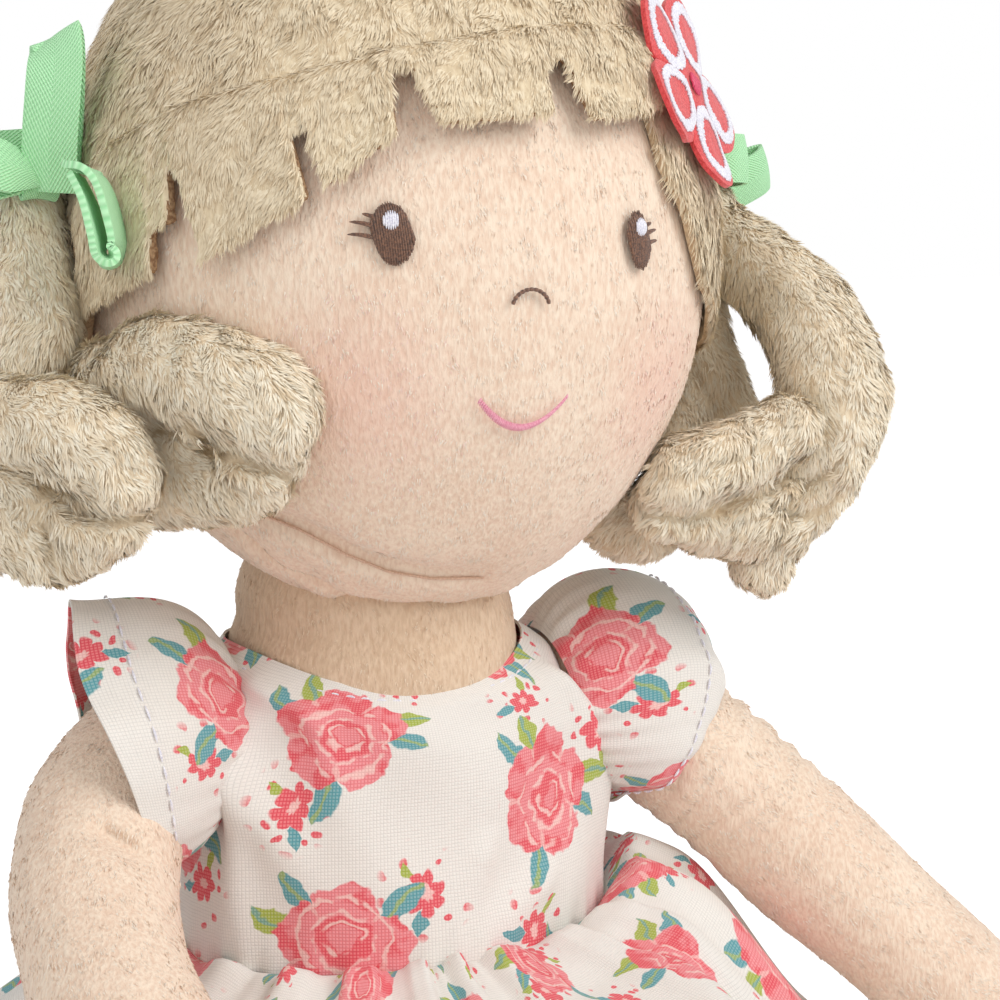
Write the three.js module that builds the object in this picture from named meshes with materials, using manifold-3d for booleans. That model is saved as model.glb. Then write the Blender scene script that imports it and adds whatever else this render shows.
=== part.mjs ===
// A seated rag doll in a printed cotton dress, in millimetres. The doll faces -Y, its own left hand
// is at +X, +Z is up, and the origin is the middle of the flat seat that it sits on.
import * as THREE from 'three';
import { mergeVertices } from 'three/addons/utils/BufferGeometryUtils.js';
import Module from 'manifold-3d';

const wasm = await Module();
wasm.setup();

// Driving sizes

const clearance = 0.3; // between pieces that touch
const jointClearance = 0.6; // round the seams that turn
const skinThickness = 1.0; // short plush of the body
const clothThickness = 0.8; // cotton of the dress
const hairThickness = 3.0; // backing and pile of the hair plush
const coarseSlack = 1.2; // extra depth of hidden faces, which have fewer facets
const mergeDistance = 0.0001;
const overrun = 40; // how far a cutter runs past what it cuts

const torsoHeight = 101; // seat to neck seam
const torsoHalfWidth = 44.6;
const torsoHalfDepth = 31.6;
const pouchHeight = 24; // pellets that weight the seat

const neckSeamRadius = 29;
const neckPivotDrop = 1; // the point that the head nods about, below the neck seam
const neckRadius = 27.5;
const neckPivotHeight = torsoHeight - neckPivotDrop;
const neckDomeRadius = 28;

const headHalfWidth = 64;
const headHalfDepth = 57;
const headTopHeight = 72.5; // above the head's centre
const headBottomHeight = 76; // below it
const headRise = 89; // of the head's centre above the neck seam
const headCentreHeight = torsoHeight + headRise;
const headForward = 6;
const headTilt = THREE.MathUtils.degToRad(9.1); // face turned up

const shoulderDrop = 11; // below the neck seam
const shoulderHeight = torsoHeight - shoulderDrop;
const armRadius = 15.5;
const armReach = 86; // sideways reach of the left hand from its shoulder
const armDrop = 72; // from shoulder to hand
const armForward = 88; // forward reach of the right hand from its shoulder

const hipOut = 23.5;
const hipForward = 28;
const legRadius = 19.3;
const legLength = 122; // hip to ankle
const legFlat = 0.5; // depth of the flat that rests on the seat
const footHalfWidth = 13.5;
const footHalfLength = 25.5;
const footHalfThickness = 12;

const waistHeight = 46;
const skirtHemRadius = 108;
const skirtHemHeight = 4.5;
const skirtFolds = 18;
const skirtFoldDepth = 2.4;
const necklineWidth = 33.4; // half, at the outside of the cloth
const necklineDepth = 31.4;
const necklineFrontRise = -1.5; // above the neck seam
const necklineSideRise = 4.5;
const necklineBackRise = 3;
const sleeveRadius = 22; // at the armhole
const sleevePuffRadius = 28.5;
const sleeveLength = 29;
const sleeveFolds = 5;
const sleeveFoldDepth = 1.1;
const closureWidth = 12;
const closureBottomRise = 6; // above the waist

const eyeOut = 25.3;
const eyeDrop = 8.6; // below the head's centre
const eyeHalfWidth = 4.1;
const eyeHalfHeight = 6.1;
const highlightRadius = 1.5;
const lashLength = 4.2;
const threadHeight = 0.9; // how far embroidery stands off the plush
const threadRadius = 0.6;
const noseDrop = 19.7;
const noseHalfWidth = 3.7;
const noseRise = 2.6;
const mouthDrop = 42.3;
const mouthHalfWidth = 8.7;
const mouthRise = 4.5;

const bunchOut = 76.5; // root of each bunch of hair, from the head's centre
const bunchBack = 5;
const bunchUp = 7;
const bunchRootRadius = 8.5;
const strandRadius = 9.5;
const bunchSwing = THREE.MathUtils.degToRad(20);

const ribbonWidth = 10;
const ribbonThickness = 0.8;
const ribbonWrapRadius = 8.5;
const ribbonWrapHeight = 11;
const ribbonWrapLift = 3.5; // above the point that the bunch swings about
const bowLoopLength = 27;
const bowLoopGape = 3.4; // between the two layers of a loop
const bowKnotDepth = 2.4; // half

const flowerRadius = 17;
const flowerThickness = 1;
const flowerStitchWidth = 2.2;
const flowerCentreRadius = 3.4;
const flowerOut = 42;
const flowerUp = 20;

// Shapes made of rings of points

const fullTurn = 2 * Math.PI;

function ring(count, pointAt) {
  return Array.from({ length: count }, (_, i) => pointAt((i / count) * fullTurn));
}

function signedVolume(positions, triangles) {
  const [a, b, c] = [new THREE.Vector3(), new THREE.Vector3(), new THREE.Vector3()];
  let volume = 0;
  for (let i = 0; i < triangles.length; i += 3) {
    a.fromArray(positions, 3 * triangles[i]);
    b.fromArray(positions, 3 * triangles[i + 1]);
    c.fromArray(positions, 3 * triangles[i + 2]);
    volume += a.dot(b.cross(c)) / 6;
  }
  return volume;
}

function closedGeometry(points, triangles) {
  const positions = points.flatMap((p) => [p.x, p.y, p.z]);
  if (signedVolume(positions, triangles) < 0) triangles.reverse();
  const geometry = new THREE.BufferGeometry();
  geometry.setAttribute('position', new THREE.Float32BufferAttribute(positions, 3));
  geometry.setIndex(triangles);
  return geometry;
}

// Joins rings of equal count into one closed skin. A ring of one point closes an end, a ring left
// open at an end is closed to its middle, and an endless loft joins its last ring to its first.
function loft(rings, endless = false) {
  const middle = (points) =>
    points.reduce((sum, p) => sum.add(p), new THREE.Vector3()).divideScalar(points.length);
  const rows = [...rings];
  if (!endless && rows[0].length > 1) rows.unshift([middle(rows[0])]);
  if (!endless && rows.at(-1).length > 1) rows.push([middle(rows.at(-1))]);
  const points = rows.flat();
  const triangles = [];
  let start = 0;
  const starts = rows.map((row) => (start += row.length) - row.length);
  for (let r = 0; r < rows.length - (endless ? 0 : 1); r += 1) {
    const next = (r + 1) % rows.length;
    const count = Math.max(rows[r].length, rows[next].length);
    const here = (i) => starts[r] + (rows[r].length > 1 ? i % count : 0);
    const there = (i) => starts[next] + (rows[next].length > 1 ? i % count : 0);
    for (let i = 0; i < count; i += 1) {
      if (rows[r].length > 1) triangles.push(here(i), here(i + 1), there(i));
      if (rows[next].length > 1) triangles.push(here(i + 1), there(i + 1), there(i));
    }
  }
  return closedGeometry(points, triangles);
}

// A sheet with a top and an underside, over a rectangle of a surface given by pointAt(u, v, height).
function patch(pointAt, bottom, top, columns, rows) {
  const perSide = (columns + 1) * (rows + 1);
  const points = [];
  for (const height of [top, bottom]) {
    for (let j = 0; j <= rows; j += 1) {
      for (let i = 0; i <= columns; i += 1) points.push(pointAt(i / columns, j / rows, height));
    }
  }
  const at = (i, j, side) => side * perSide + j * (columns + 1) + i;
  const triangles = [];
  for (let j = 0; j < rows; j += 1) {
    for (let i = 0; i < columns; i += 1) {
      const [a, b, c, d] = [at(i, j, 0), at(i + 1, j, 0), at(i + 1, j + 1, 0), at(i, j + 1, 0)];
      triangles.push(a, b, c, a, c, d);
      triangles.push(a + perSide, c + perSide, b + perSide, a + perSide, d + perSide, c + perSide);
    }
  }
  const wall = (from, to) => {
    triangles.push(to, from, from + perSide, to, from + perSide, to + perSide);
  };
  for (let i = 0; i < columns; i += 1) {
    wall(at(i, 0, 0), at(i + 1, 0, 0));
    wall(at(i + 1, rows, 0), at(i, rows, 0));
  }
  for (let j = 0; j < rows; j += 1) {
    wall(at(0, j + 1, 0), at(0, j, 0));
    wall(at(columns, j, 0), at(columns, j + 1, 0));
  }
  return closedGeometry(points, triangles);
}

function ball(centre, radius, sides = 14, rows = 7) {
  const geometry = new THREE.SphereGeometry(radius, sides, rows);
  return geometry.translate(centre.x, centre.y, centre.z);
}

function ellipsoid(centre, half, sides = 12, rows = 7) {
  const geometry = new THREE.SphereGeometry(1, sides, rows);
  return geometry.scale(half.x, half.y, half.z).translate(centre.x, centre.y, centre.z);
}

function boxBetween(low, high) {
  const size = high.clone().sub(low);
  const middle = high.clone().add(low).multiplyScalar(0.5);
  return new THREE.BoxGeometry(size.x, size.y, size.z).translate(middle.x, middle.y, middle.z);
}

// A stuffed tube along a curve with rounded ends. radiusAt gives its radius at a share of its length.
function stuffedTube(points, radiusAt, sides, steps, grow = 0, domeRows = 2) {
  const curve = new THREE.CatmullRomCurve3(points);
  const frames = curve.computeFrenetFrames(steps, false);
  const rings = [];
  const addRing = (index, radius, shift) => {
    const centre = curve.getPointAt(index / steps).addScaledVector(frames.tangents[index], shift);
    rings.push(
      ring(sides, (angle) =>
        centre
          .clone()
          .addScaledVector(frames.normals[index], radius * Math.cos(angle))
          .addScaledVector(frames.binormals[index], radius * Math.sin(angle)),
      ),
    );
  };
  const addDome = (index, direction) => {
    const radius = radiusAt(index / steps) + grow;
    const tip = curve.getPointAt(index / steps);
    tip.addScaledVector(frames.tangents[index], direction * radius);
    const rows = Array.from({ length: domeRows }, (_, k) => ((k + 1) / (domeRows + 1)) * (Math.PI / 2));
    if (direction < 0) {
      rings.push([tip]);
      rows.forEach((angle) => addRing(index, radius * Math.sin(angle), -radius * Math.cos(angle)));
    } else {
      rows.reverse();
      rows.forEach((angle) => addRing(index, radius * Math.sin(angle), radius * Math.cos(angle)));
      rings.push([tip]);
    }
  };
  addDome(0, -1);
  for (let index = 0; index <= steps; index += 1) addRing(index, radiusAt(index / steps) + grow, 0);
  addDome(steps, 1);
  return loft(rings);
}

function steppedValue(shares, place) {
  const last = shares.length - 1;
  const at = Math.min(Math.max(place, 0), 1) * last;
  const low = Math.min(Math.floor(at), last - 1);
  return THREE.MathUtils.lerp(shares[low], shares[low + 1], at - low);
}

// The value at a place in a table of [place, value, value ...] rows.
function tableRow(rows, place) {
  const next = rows.findIndex((row) => row[0] > place);
  if (next === 0) return rows[0].slice(1);
  if (next < 0) return rows.at(-1).slice(1);
  const [low, high] = [rows[next - 1], rows[next]];
  const blend = (place - low[0]) / (high[0] - low[0]);
  return low.slice(1).map((value, i) => THREE.MathUtils.lerp(value, high[i + 1], blend));
}

// Cutting and joining

function solidOf(geometry) {
  const bare = new THREE.BufferGeometry();
  bare.setAttribute('position', geometry.getAttribute('position'));
  bare.setIndex(geometry.getIndex());
  const merged = mergeVertices(bare, mergeDistance);
  const index = merged.getIndex().array;
  const triangles = [];
  for (let i = 0; i < index.length; i += 3) {
    const [a, b, c] = [index[i], index[i + 1], index[i + 2]];
    if (a !== b && b !== c && c !== a) triangles.push(a, b, c);
  }
  return new wasm.Manifold(
    new wasm.Mesh({
      numProp: 3,
      vertProperties: new Float32Array(merged.getAttribute('position').array),
      triVerts: new Uint32Array(triangles),
    }),
  );
}

function geometryOf(solid) {
  const mesh = solid.getMesh();
  const geometry = new THREE.BufferGeometry();
  geometry.setAttribute('position', new THREE.BufferAttribute(new Float32Array(mesh.vertProperties), 3));
  geometry.setIndex(new THREE.BufferAttribute(new Uint32Array(mesh.triVerts), 1));
  return geometry;
}

function cut(geometry, ...cutters) {
  return geometryOf(cutters.reduce((solid, cutter) => solid.subtract(solidOf(cutter)), solidOf(geometry)));
}

function join(...geometries) {
  const [first, ...rest] = geometries.map(solidOf);
  return geometryOf(rest.reduce((solid, other) => solid.add(other), first));
}

// The main body of a piece whose cutting left crumbs beside it.
function mainBody(geometry) {
  const bodies = solidOf(geometry).decompose();
  return geometryOf(bodies.reduce((best, body) => (body.volume() > best.volume() ? body : best)));
}

function common(geometry, other) {
  return geometryOf(solidOf(geometry).intersect(solidOf(other)));
}

// Where a piece has a left and a right copy, side is +1 for the doll's left and -1 for its right.
const sides = { right: -1, left: 1 };
const at = (x, y, z) => new THREE.Vector3(x, y, z);

// Body and limbs

// The arms and sleeves stay outside an upright plane beside the bodice, so that they turn freely.
const armholeShare = 0.985; // the torso's width at the armhole, of its widest
const armholeOut = armholeShare * torsoHalfWidth + clothThickness + 2 * clearance;
const shoulderOut = armholeOut - clearance;

// Facets of the faces that show, and of the hidden ones, which are coarser and so lie further in.
const fine = { around: 10, steps: 7, ballSides: 14, ballRows: 7 };
const coarse = { around: 7, steps: 5, ballSides: 9, ballRows: 5 };
const hiddenInset = skinThickness + coarseSlack;
const fillingInset = hiddenInset + clearance;
const torsoSides = 20;
const hiddenTorsoSides = 12;

const torsoShares = [
  [0, 0.8, 0.8],
  [0.06, 0.93, 0.92],
  [0.2, 1, 1],
  [0.62, 0.985, 0.96],
  [0.77, 0.96, 0.93],
  [0.88, 0.91, 0.92],
  [0.94, 0.85, 0.925],
  [1, 0.72, 0.935],
];

function torsoPoint(angle, height, grow) {
  const [width, depth] = tableRow(torsoShares, height / torsoHeight);
  const x = (torsoHalfWidth * width + grow) * Math.sin(angle);
  const y = -(torsoHalfDepth * depth + grow) * Math.cos(angle);
  return at(x, y, height);
}

function torsoForm(grow, around = torsoSides) {
  const top = torsoHeight + Math.min(grow, 0);
  const heights = torsoShares.map(([share]) => share * torsoHeight);
  heights[0] = Math.max(-grow, 0);
  heights[heights.length - 1] = top;
  return loft(heights.map((height) => ring(around, (angle) => torsoPoint(angle, height, grow))));
}

const shoulderOf = (side) => at(side * shoulderOut, 0, shoulderHeight);
const hipOf = (side) => at(side * hipOut, -hipForward, legRadius - legFlat);

const armRadiusShares = [1, 1.02, 1.04, 1, 0.94, 0.9];

// Arm routes as shares of the reach sideways, the reach forward and the drop of each arm.
const armRouteShares = {
  left: [
    [0, 0, 0],
    [0.23, 0.07, 0.15],
    [0.52, 0.23, 0.49],
    [0.85, 0.4, 0.9],
    [0.96, 0.46, 1.02],
  ],
  right: [
    [0, 0, 0],
    [0.15, 0.07, 0.09],
    [0.28, 0.23, 0.26],
    [0.33, 0.42, 0.42],
    [0.31, 0.71, 0.66],
    [0.28, 0.99, 0.86],
  ],
};

function armForm(name, grow, { around, steps, ballSides, ballRows } = fine) {
  const side = sides[name];
  const shoulder = shoulderOf(side);
  const route = armRouteShares[name].map(([out, forward, drop]) =>
    at(
      shoulder.x + side * out * armReach,
      shoulder.y - forward * armForward,
      shoulder.z - drop * armDrop,
    ),
  );
  const radiusAt = (share) => armRadius * steppedValue(armRadiusShares, share);
  const tube = stuffedTube(route, radiusAt, around, steps, grow);
  const inner = side * (armholeOut - grow);
  const outer = side * (armholeOut + armReach + overrun);
  const outside = boxBetween(
    at(Math.min(inner, outer), -armForward - overrun, -overrun),
    at(Math.max(inner, outer), overrun, shoulderHeight + overrun),
  );
  return join(common(tube, outside), ball(shoulder, armRadius - clearance + grow, ballSides, ballRows));
}

const legRadiusShares = [1, 0.97, 0.92, 0.85, 0.78];
const legSplayShare = 0.06;

function legForm(name, grow, { around, steps, ballRows } = fine) {
  const side = sides[name];
  const hip = hipOf(side);
  const radiusAt = (share) => legRadius * steppedValue(legRadiusShares, share);
  const route = legRadiusShares.map((radiusShare, i) => {
    const along = (legLength * i) / (legRadiusShares.length - 1);
    return at(hip.x + side * legSplayShare * along, hip.y - along, legRadius * radiusShare - legFlat);
  });
  const ankle = route.at(-1);
  const footCentre = at(ankle.x, ankle.y - footHalfThickness / 2, footHalfLength - legFlat);
  const footHalf = at(footHalfWidth + grow, footHalfThickness + grow, footHalfLength + grow);
  const below = boxBetween(
    at(hip.x - overrun, hip.y - legLength - overrun, -overrun),
    at(hip.x + overrun, overrun, Math.max(-grow, 0)),
  );
  const whole = join(
    stuffedTube(route, radiusAt, around, steps, grow),
    ellipsoid(footCentre, footHalf, around, ballRows),
  );
  return grow > 0 ? whole : cut(whole, below);
}

// What a leg needs free as it swings from sitting forward to hanging straight down: a slot with a
// round back, as wide as the thigh.
function legSlot(name) {
  const side = sides[name];
  const hip = hipOf(side);
  const radius = legRadius + jointClearance;
  const outline = new THREE.Shape();
  outline.moveTo(hip.y - overrun, hip.z + radius);
  outline.lineTo(hip.y, hip.z + radius);
  outline.absarc(hip.y, hip.z, radius, Math.PI / 2, 0, true);
  outline.lineTo(hip.y + radius, -overrun);
  outline.lineTo(hip.y - overrun, -overrun);
  outline.closePath();
  const options = { depth: 2 * radius, bevelEnabled: false, curveSegments: 4 };
  const slot = new THREE.ExtrudeGeometry(outline, options);
  const axes = new THREE.Matrix4().makeBasis(at(0, 1, 0), at(0, 0, 1), at(1, 0, 0));
  return slot.applyMatrix4(axes).translate(hip.x - radius, 0, 0);
}

const limbNames = ['right', 'left'];
const socketOf = (name) => ball(shoulderOf(sides[name]), armRadius + jointClearance);

// The opening in the end of a limb's skin where it is filled and then sewn to the body.
const fillingHole = (centre, radius, acrossBody) =>
  new THREE.CylinderGeometry(radius / 2, radius / 2, radius, 8)
    .rotateZ(acrossBody ? Math.PI / 2 : 0)
    .translate(centre.x, centre.y, centre.z);

const neckHoleShare = 0.8; // of the neck's radius, open between the neck's filling and the body's

function neckHole(height) {
  const radius = neckHoleShare * neckRadius;
  return new THREE.CylinderGeometry(radius, radius, 4 * skinThickness, hiddenTorsoSides)
    .rotateX(Math.PI / 2)
    .translate(0, 0, height);
}

function torsoSkin() {
  const shell = cut(torsoForm(0), torsoForm(-skinThickness, hiddenTorsoSides), neckHole(torsoHeight));
  return cut(shell, ...limbNames.map(socketOf), ...limbNames.map(legSlot));
}

function pouchSplit(low, high) {
  const wide = torsoHalfWidth + overrun;
  return boxBetween(at(-wide, -wide, low), at(wide, wide, high));
}

const torsoFilling = () => torsoForm(-skinThickness - clearance, hiddenTorsoSides);

function torsoStuffing() {
  const top = torsoHeight + overrun;
  const whole = common(torsoFilling(), pouchSplit(pouchHeight + clearance, top));
  return cut(whole, ...limbNames.map(socketOf), ...limbNames.map(legSlot));
}

function pelletPouch() {
  const whole = common(torsoFilling(), pouchSplit(-overrun, pouchHeight));
  return cut(whole, ...limbNames.map(legSlot));
}

function neckForm(grow, around = 14) {
  const seam = torsoHeight + clearance - Math.min(grow, 0);
  const side = neckRadius + grow;
  const dome = neckDomeRadius + grow;
  const startAngle = Math.acos(side / dome);
  const profile = [
    [neckSeamRadius + grow, seam],
    [(neckSeamRadius + neckRadius) / 2 + grow, (seam + neckPivotHeight + dome * Math.sin(startAngle)) / 2],
  ];
  const domeRows = 4;
  for (let k = 0; k < domeRows; k += 1) {
    const angle = THREE.MathUtils.lerp(startAngle, Math.PI / 2, k / domeRows);
    profile.push([dome * Math.cos(angle), neckPivotHeight + dome * Math.sin(angle)]);
  }
  const rings = profile.map(([radius, height]) =>
    ring(around, (angle) => at(radius * Math.sin(angle), -radius * Math.cos(angle), height)),
  );
  return loft([...rings, [at(0, 0, neckPivotHeight + dome)]]);
}

function neckSkin() {
  return cut(neckForm(0), neckForm(-skinThickness), neckHole(torsoHeight + clearance));
}

// Dress

const yokeShare = 0.88; // of the way up the torso, where the cloth leaves it for the neckline
const yokeSwellShare = 0.2; // of the way in to the neckline, how far the cloth bulges between

function necklineHeight(angle) {
  const turn = Math.cos(angle);
  const middleRise = turn > 0 ? necklineFrontRise : necklineBackRise;
  return torsoHeight + THREE.MathUtils.lerp(necklineSideRise, middleRise, turn * turn);
}

function yokePoint(angle, rise, grow) {
  const inset = clearance + clothThickness - grow;
  const neckline = at(
    (necklineWidth - inset) * Math.sin(angle),
    -(necklineDepth - inset) * Math.cos(angle),
    necklineHeight(angle),
  );
  const swell = Math.sin(rise * Math.PI) * yokeSwellShare * (torsoHalfWidth - necklineWidth);
  return torsoPoint(angle, yokeShare * torsoHeight, grow)
    .lerp(neckline, rise)
    .add(at(swell * Math.sin(angle), 0, swell / 2));
}

function bodiceRings(grow) {
  const heights = torsoShares
    .map(([share]) => share * torsoHeight)
    .filter((height) => height > waistHeight && height < yokeShare * torsoHeight);
  const lower = [waistHeight, ...heights].map((height) =>
    ring(torsoSides, (angle) => torsoPoint(angle, height, grow)),
  );
  const upper = [0, 0.5, 1].map((rise) => ring(torsoSides, (angle) => yokePoint(angle, rise, grow)));
  return [...lower, ...upper];
}

function dressBodice() {
  const shell = loft([...bodiceRings(clearance + clothThickness), ...bodiceRings(clearance).reverse()], true);
  return cut(shell, ...limbNames.map(socketOf));
}

const foldOutShare = 0.5; // of a fold's depth, how far it stands out
const foldUpShare = 0.7; // and how far it stands up
const skirtFallPower = 1.5; // the skirt leaves the waist almost level and steepens
const lapSideShares = [0.95, 1.35]; // where the lap falls off beside the thighs, of their outer sides
const lapStartShare = 0.3; // where the lap starts in front, of the way to the hips
const lapFallShare = 0.1; // fall of the lap towards the knees, of the way along it

function skirtPoint(angle, share, drop) {
  const waist = torsoPoint(angle, waistHeight, clearance + clothThickness);
  const waistRadius = Math.hypot(waist.x, waist.y);
  const fold = skirtFoldDepth * Math.sqrt(share) * Math.cos(skirtFolds * angle);
  const radius = THREE.MathUtils.lerp(waistRadius, skirtHemRadius, share) + foldOutShare * fold;
  const x = radius * Math.sin(angle);
  const y = -radius * Math.cos(angle);
  const waistTop = waistHeight - clearance;
  const fall = waistTop - (waistTop - skirtHemHeight) * Math.pow(share, skirtFallPower);
  const lapTop = 2 * legRadius + 2 * clothThickness + skirtFoldDepth;
  const lapOut = hipOut + legRadius;
  const [lapSide, lapEnd] = lapSideShares.map((lapShare) => lapShare * lapOut);
  const overLegs =
    (1 - THREE.MathUtils.smoothstep(Math.abs(x), lapSide, lapEnd)) *
    THREE.MathUtils.smoothstep(-y, lapStartShare * hipForward, torsoHalfDepth);
  const lapFall = lapFallShare * Math.max(-y - torsoHalfDepth, 0);
  const height = Math.max(fall, THREE.MathUtils.lerp(fall, lapTop - lapFall, overLegs));
  return at(x, y, Math.min(height, waistTop) + foldUpShare * fold * Math.sqrt(share) - drop);
}

const skirtRowShares = [0, 0.15, 0.4, 0.7, 1];

function dressSkirt() {
  const count = 4 * skirtFolds;
  const upper = skirtRowShares.map((share) => ring(count, (angle) => skirtPoint(angle, share, 0)));
  const lower = skirtRowShares.map((share) =>
    ring(count, (angle) => skirtPoint(angle, share, clothThickness)),
  );
  return loft([...upper, ...lower.reverse()], true);
}

const sleeveShares = [
  // along, out of the armhole radius to the puff radius, forward, drop
  [0, 0, 0, 0.1],
  [0.22, 0.75, 0.07, 0.1],
  [0.5, 1, 0.16, 0.14],
  [0.78, 0.9, 0.27, 0.2],
  [1, 0.75, 0.36, 0.26],
];
const sleeveForwardShares = { right: 1.4, left: 1 }; // the right arm points further forward
const sleeveUnderShare = 0.18; // the length under the arm, of the length over it

function sleeveRing(name, row, thickness) {
  const side = sides[name];
  const shoulder = shoulderOf(side);
  const [along, swell, forward, drop] = row;
  const radius = THREE.MathUtils.lerp(sleeveRadius, sleevePuffRadius, swell) - thickness;
  return ring(20, (angle) => {
    const fold = sleeveFoldDepth * along * Math.cos(sleeveFolds * angle);
    const reach = along * THREE.MathUtils.lerp(sleeveUnderShare, 1, (1 + Math.sin(angle)) / 2);
    return at(
      side * (armholeOut + reach * sleeveLength),
      -forward * sleeveForwardShares[name] * sleeveLength - (radius + fold) * Math.cos(angle),
      shoulder.z - drop * sleeveLength + (radius + fold) * Math.sin(angle),
    );
  });
}

function sleeve(name) {
  const outer = sleeveShares.map((row) => sleeveRing(name, row, 0));
  const inner = sleeveShares.map((row) => sleeveRing(name, row, clothThickness));
  return loft([...outer, ...inner.reverse()], true);
}

// The back opening: two tapes that grip each other, one sewn on the bodice and one under the flap.
function closureStrip(layer) {
  const bottom = (layer + 1) * (clothThickness + clearance) + clearance;
  const halfAngle = closureWidth / 2 / torsoHalfDepth;
  const pointAt = (u, v, height) =>
    torsoPoint(
      Math.PI + THREE.MathUtils.lerp(-halfAngle, halfAngle, u),
      THREE.MathUtils.lerp(waistHeight + closureBottomRise, shoulderHeight - clothThickness, v),
      height,
    );
  return patch(pointAt, bottom, bottom + clothThickness, 3, 3);
}

// Head

// A point on the head: turn is measured about its upright axis from the face, towards the doll's
// left, and tilt down from the crown.
function headPoint(turn, tilt, grow) {
  const height = (Math.cos(tilt) > 0 ? headTopHeight : headBottomHeight) + grow;
  return at(
    (headHalfWidth + grow) * Math.sin(tilt) * Math.sin(turn),
    -(headHalfDepth + grow) * Math.sin(tilt) * Math.cos(turn),
    height * Math.cos(tilt),
  );
}

function headForm(grow, around = 24, rows = 10) {
  const rings = Array.from({ length: rows - 1 }, (_, j) =>
    ring(around, (turn) => headPoint(turn, ((j + 1) / rows) * Math.PI, grow)),
  );
  return loft([[headPoint(0, 0, grow)], ...rings, [headPoint(0, Math.PI, grow)]]);
}

const headMatrix = new THREE.Matrix4()
  .makeTranslation(0, -headForward, headCentreHeight)
  .multiply(new THREE.Matrix4().makeRotationX(-headTilt));
const worldInHead = headMatrix.clone().invert();
const neckPivotInHead = at(0, 0, neckPivotHeight).applyMatrix4(worldInHead);
const hiddenHeadFacets = [16, 8];
const neckSocket = () =>
  ball(neckPivotInHead, neckDomeRadius + clearance + coarseSlack, ...hiddenHeadFacets);

function headHalf(front) {
  const wide = headHalfWidth + overrun;
  const seam = -headForward + (front ? -clearance / 2 : clearance / 2);
  return front
    ? boxBetween(at(-wide, -wide, -wide - overrun), at(wide, seam, wide + overrun))
    : boxBetween(at(-wide, seam, -wide - overrun), at(wide, wide, wide + overrun));
}

function headPanel(front) {
  const shell = cut(headForm(0), headForm(-hiddenInset, ...hiddenHeadFacets), neckSocket());
  return common(shell, headHalf(front));
}

function headStuffing() {
  return cut(headForm(-fillingInset, ...hiddenHeadFacets), neckSocket());
}

// The lower edge of the hair cap: degrees round the head from the face, then the share of the
// head's height above its centre. The fringe hangs below it at the front.
const capEdgeShares = [
  [-180, -0.6],
  [-135, -0.5],
  [-100, -0.3],
  [-90, -0.2],
  [-85, 0.12],
  [-61, 0.23],
  [-39, 0.27],
  [-22, 0.31],
  [6, 0.38],
  [25, 0.4],
  [30, 0.06],
  [40, -0.14],
  [46, -0.22],
  [70, -0.34],
  [100, -0.4],
  [135, -0.5],
  [180, -0.6],
];

// Everything above the edge of the cap, as a cone from the middle of the head.
function capRegion(lower) {
  const reach = 2; // times the head's own size, so that the cone's end is well outside it
  const far = at(0, 0, 2 * headTopHeight);
  const edge = ring(72, (turn) => {
    const degrees = THREE.MathUtils.radToDeg(Math.atan2(Math.sin(turn), Math.cos(turn)));
    const tilt = Math.acos(tableRow(capEdgeShares, degrees)[0]) + lower / headHalfWidth;
    return headPoint(turn, tilt, 0).multiplyScalar(reach);
  });
  const raised = edge.map((point) => point.clone().add(far));
  return loft([[at(0, 0, 0)], edge, raised, [far.clone().multiplyScalar(reach)]]);
}

function hairCapForm(grow) {
  const shell = cut(headForm(clearance + hairThickness + grow), headForm(clearance - grow));
  return common(shell, capRegion(grow));
}

// Fringe tabs: the turn of the left and right edge in degrees, at the top and then at the tip, and
// the height of the left and right corner of the tip as shares of the head's height.
const fringeTabShares = [
  [-83, -62, -83, -65, -0.21, -0.16],
  [-60.5, -37, -57, -35, -0.13, 0],
  [-37.5, -20, -34, -19.5, 0.03, 0.15],
  [-20.5, 5, -15.5, 4, 0.15, 0.17],
  [4.5, 24, 9.5, 24.5, 0.16, 0.2],
];
const fringeBandShare = 0.07; // the uncut strip along the top, as a share of the head's height
const fringeLap = 2; // how far that strip runs along each tab

function fringeTop(degrees) {
  return tableRow(capEdgeShares, degrees)[0] - (4 * clearance) / headTopHeight;
}

function headSheet(topTurns, tipTurns, tipShares, columns, rows) {
  const pointAt = (u, v, height) => {
    const topTurn = THREE.MathUtils.lerp(...topTurns, u);
    const turn = THREE.MathUtils.lerp(topTurn, THREE.MathUtils.lerp(...tipTurns, u), v);
    const rise = THREE.MathUtils.lerp(fringeTop(topTurn), THREE.MathUtils.lerp(...tipShares, u), v);
    return headPoint(THREE.MathUtils.degToRad(turn), Math.acos(rise), height);
  };
  return patch(pointAt, clearance, clearance + hairThickness, columns, rows);
}

function fringe() {
  const tabs = fringeTabShares.map(([topLeft, topRight, tipLeft, tipRight, ...tips]) =>
    headSheet([topLeft, topRight], [tipLeft, tipRight], tips, 4, 2),
  );
  const lap = THREE.MathUtils.radToDeg(fringeLap / headHalfDepth);
  const bands = fringeTabShares.slice(1).map((tab, i) => {
    const turns = [fringeTabShares[i][1] - lap, tab[0] + lap];
    const low = turns.map((turn) => fringeTop(turn) - fringeBandShare);
    return headSheet(turns, turns, low, 1, 1);
  });
  return join(...tabs, ...bands);
}

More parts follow.
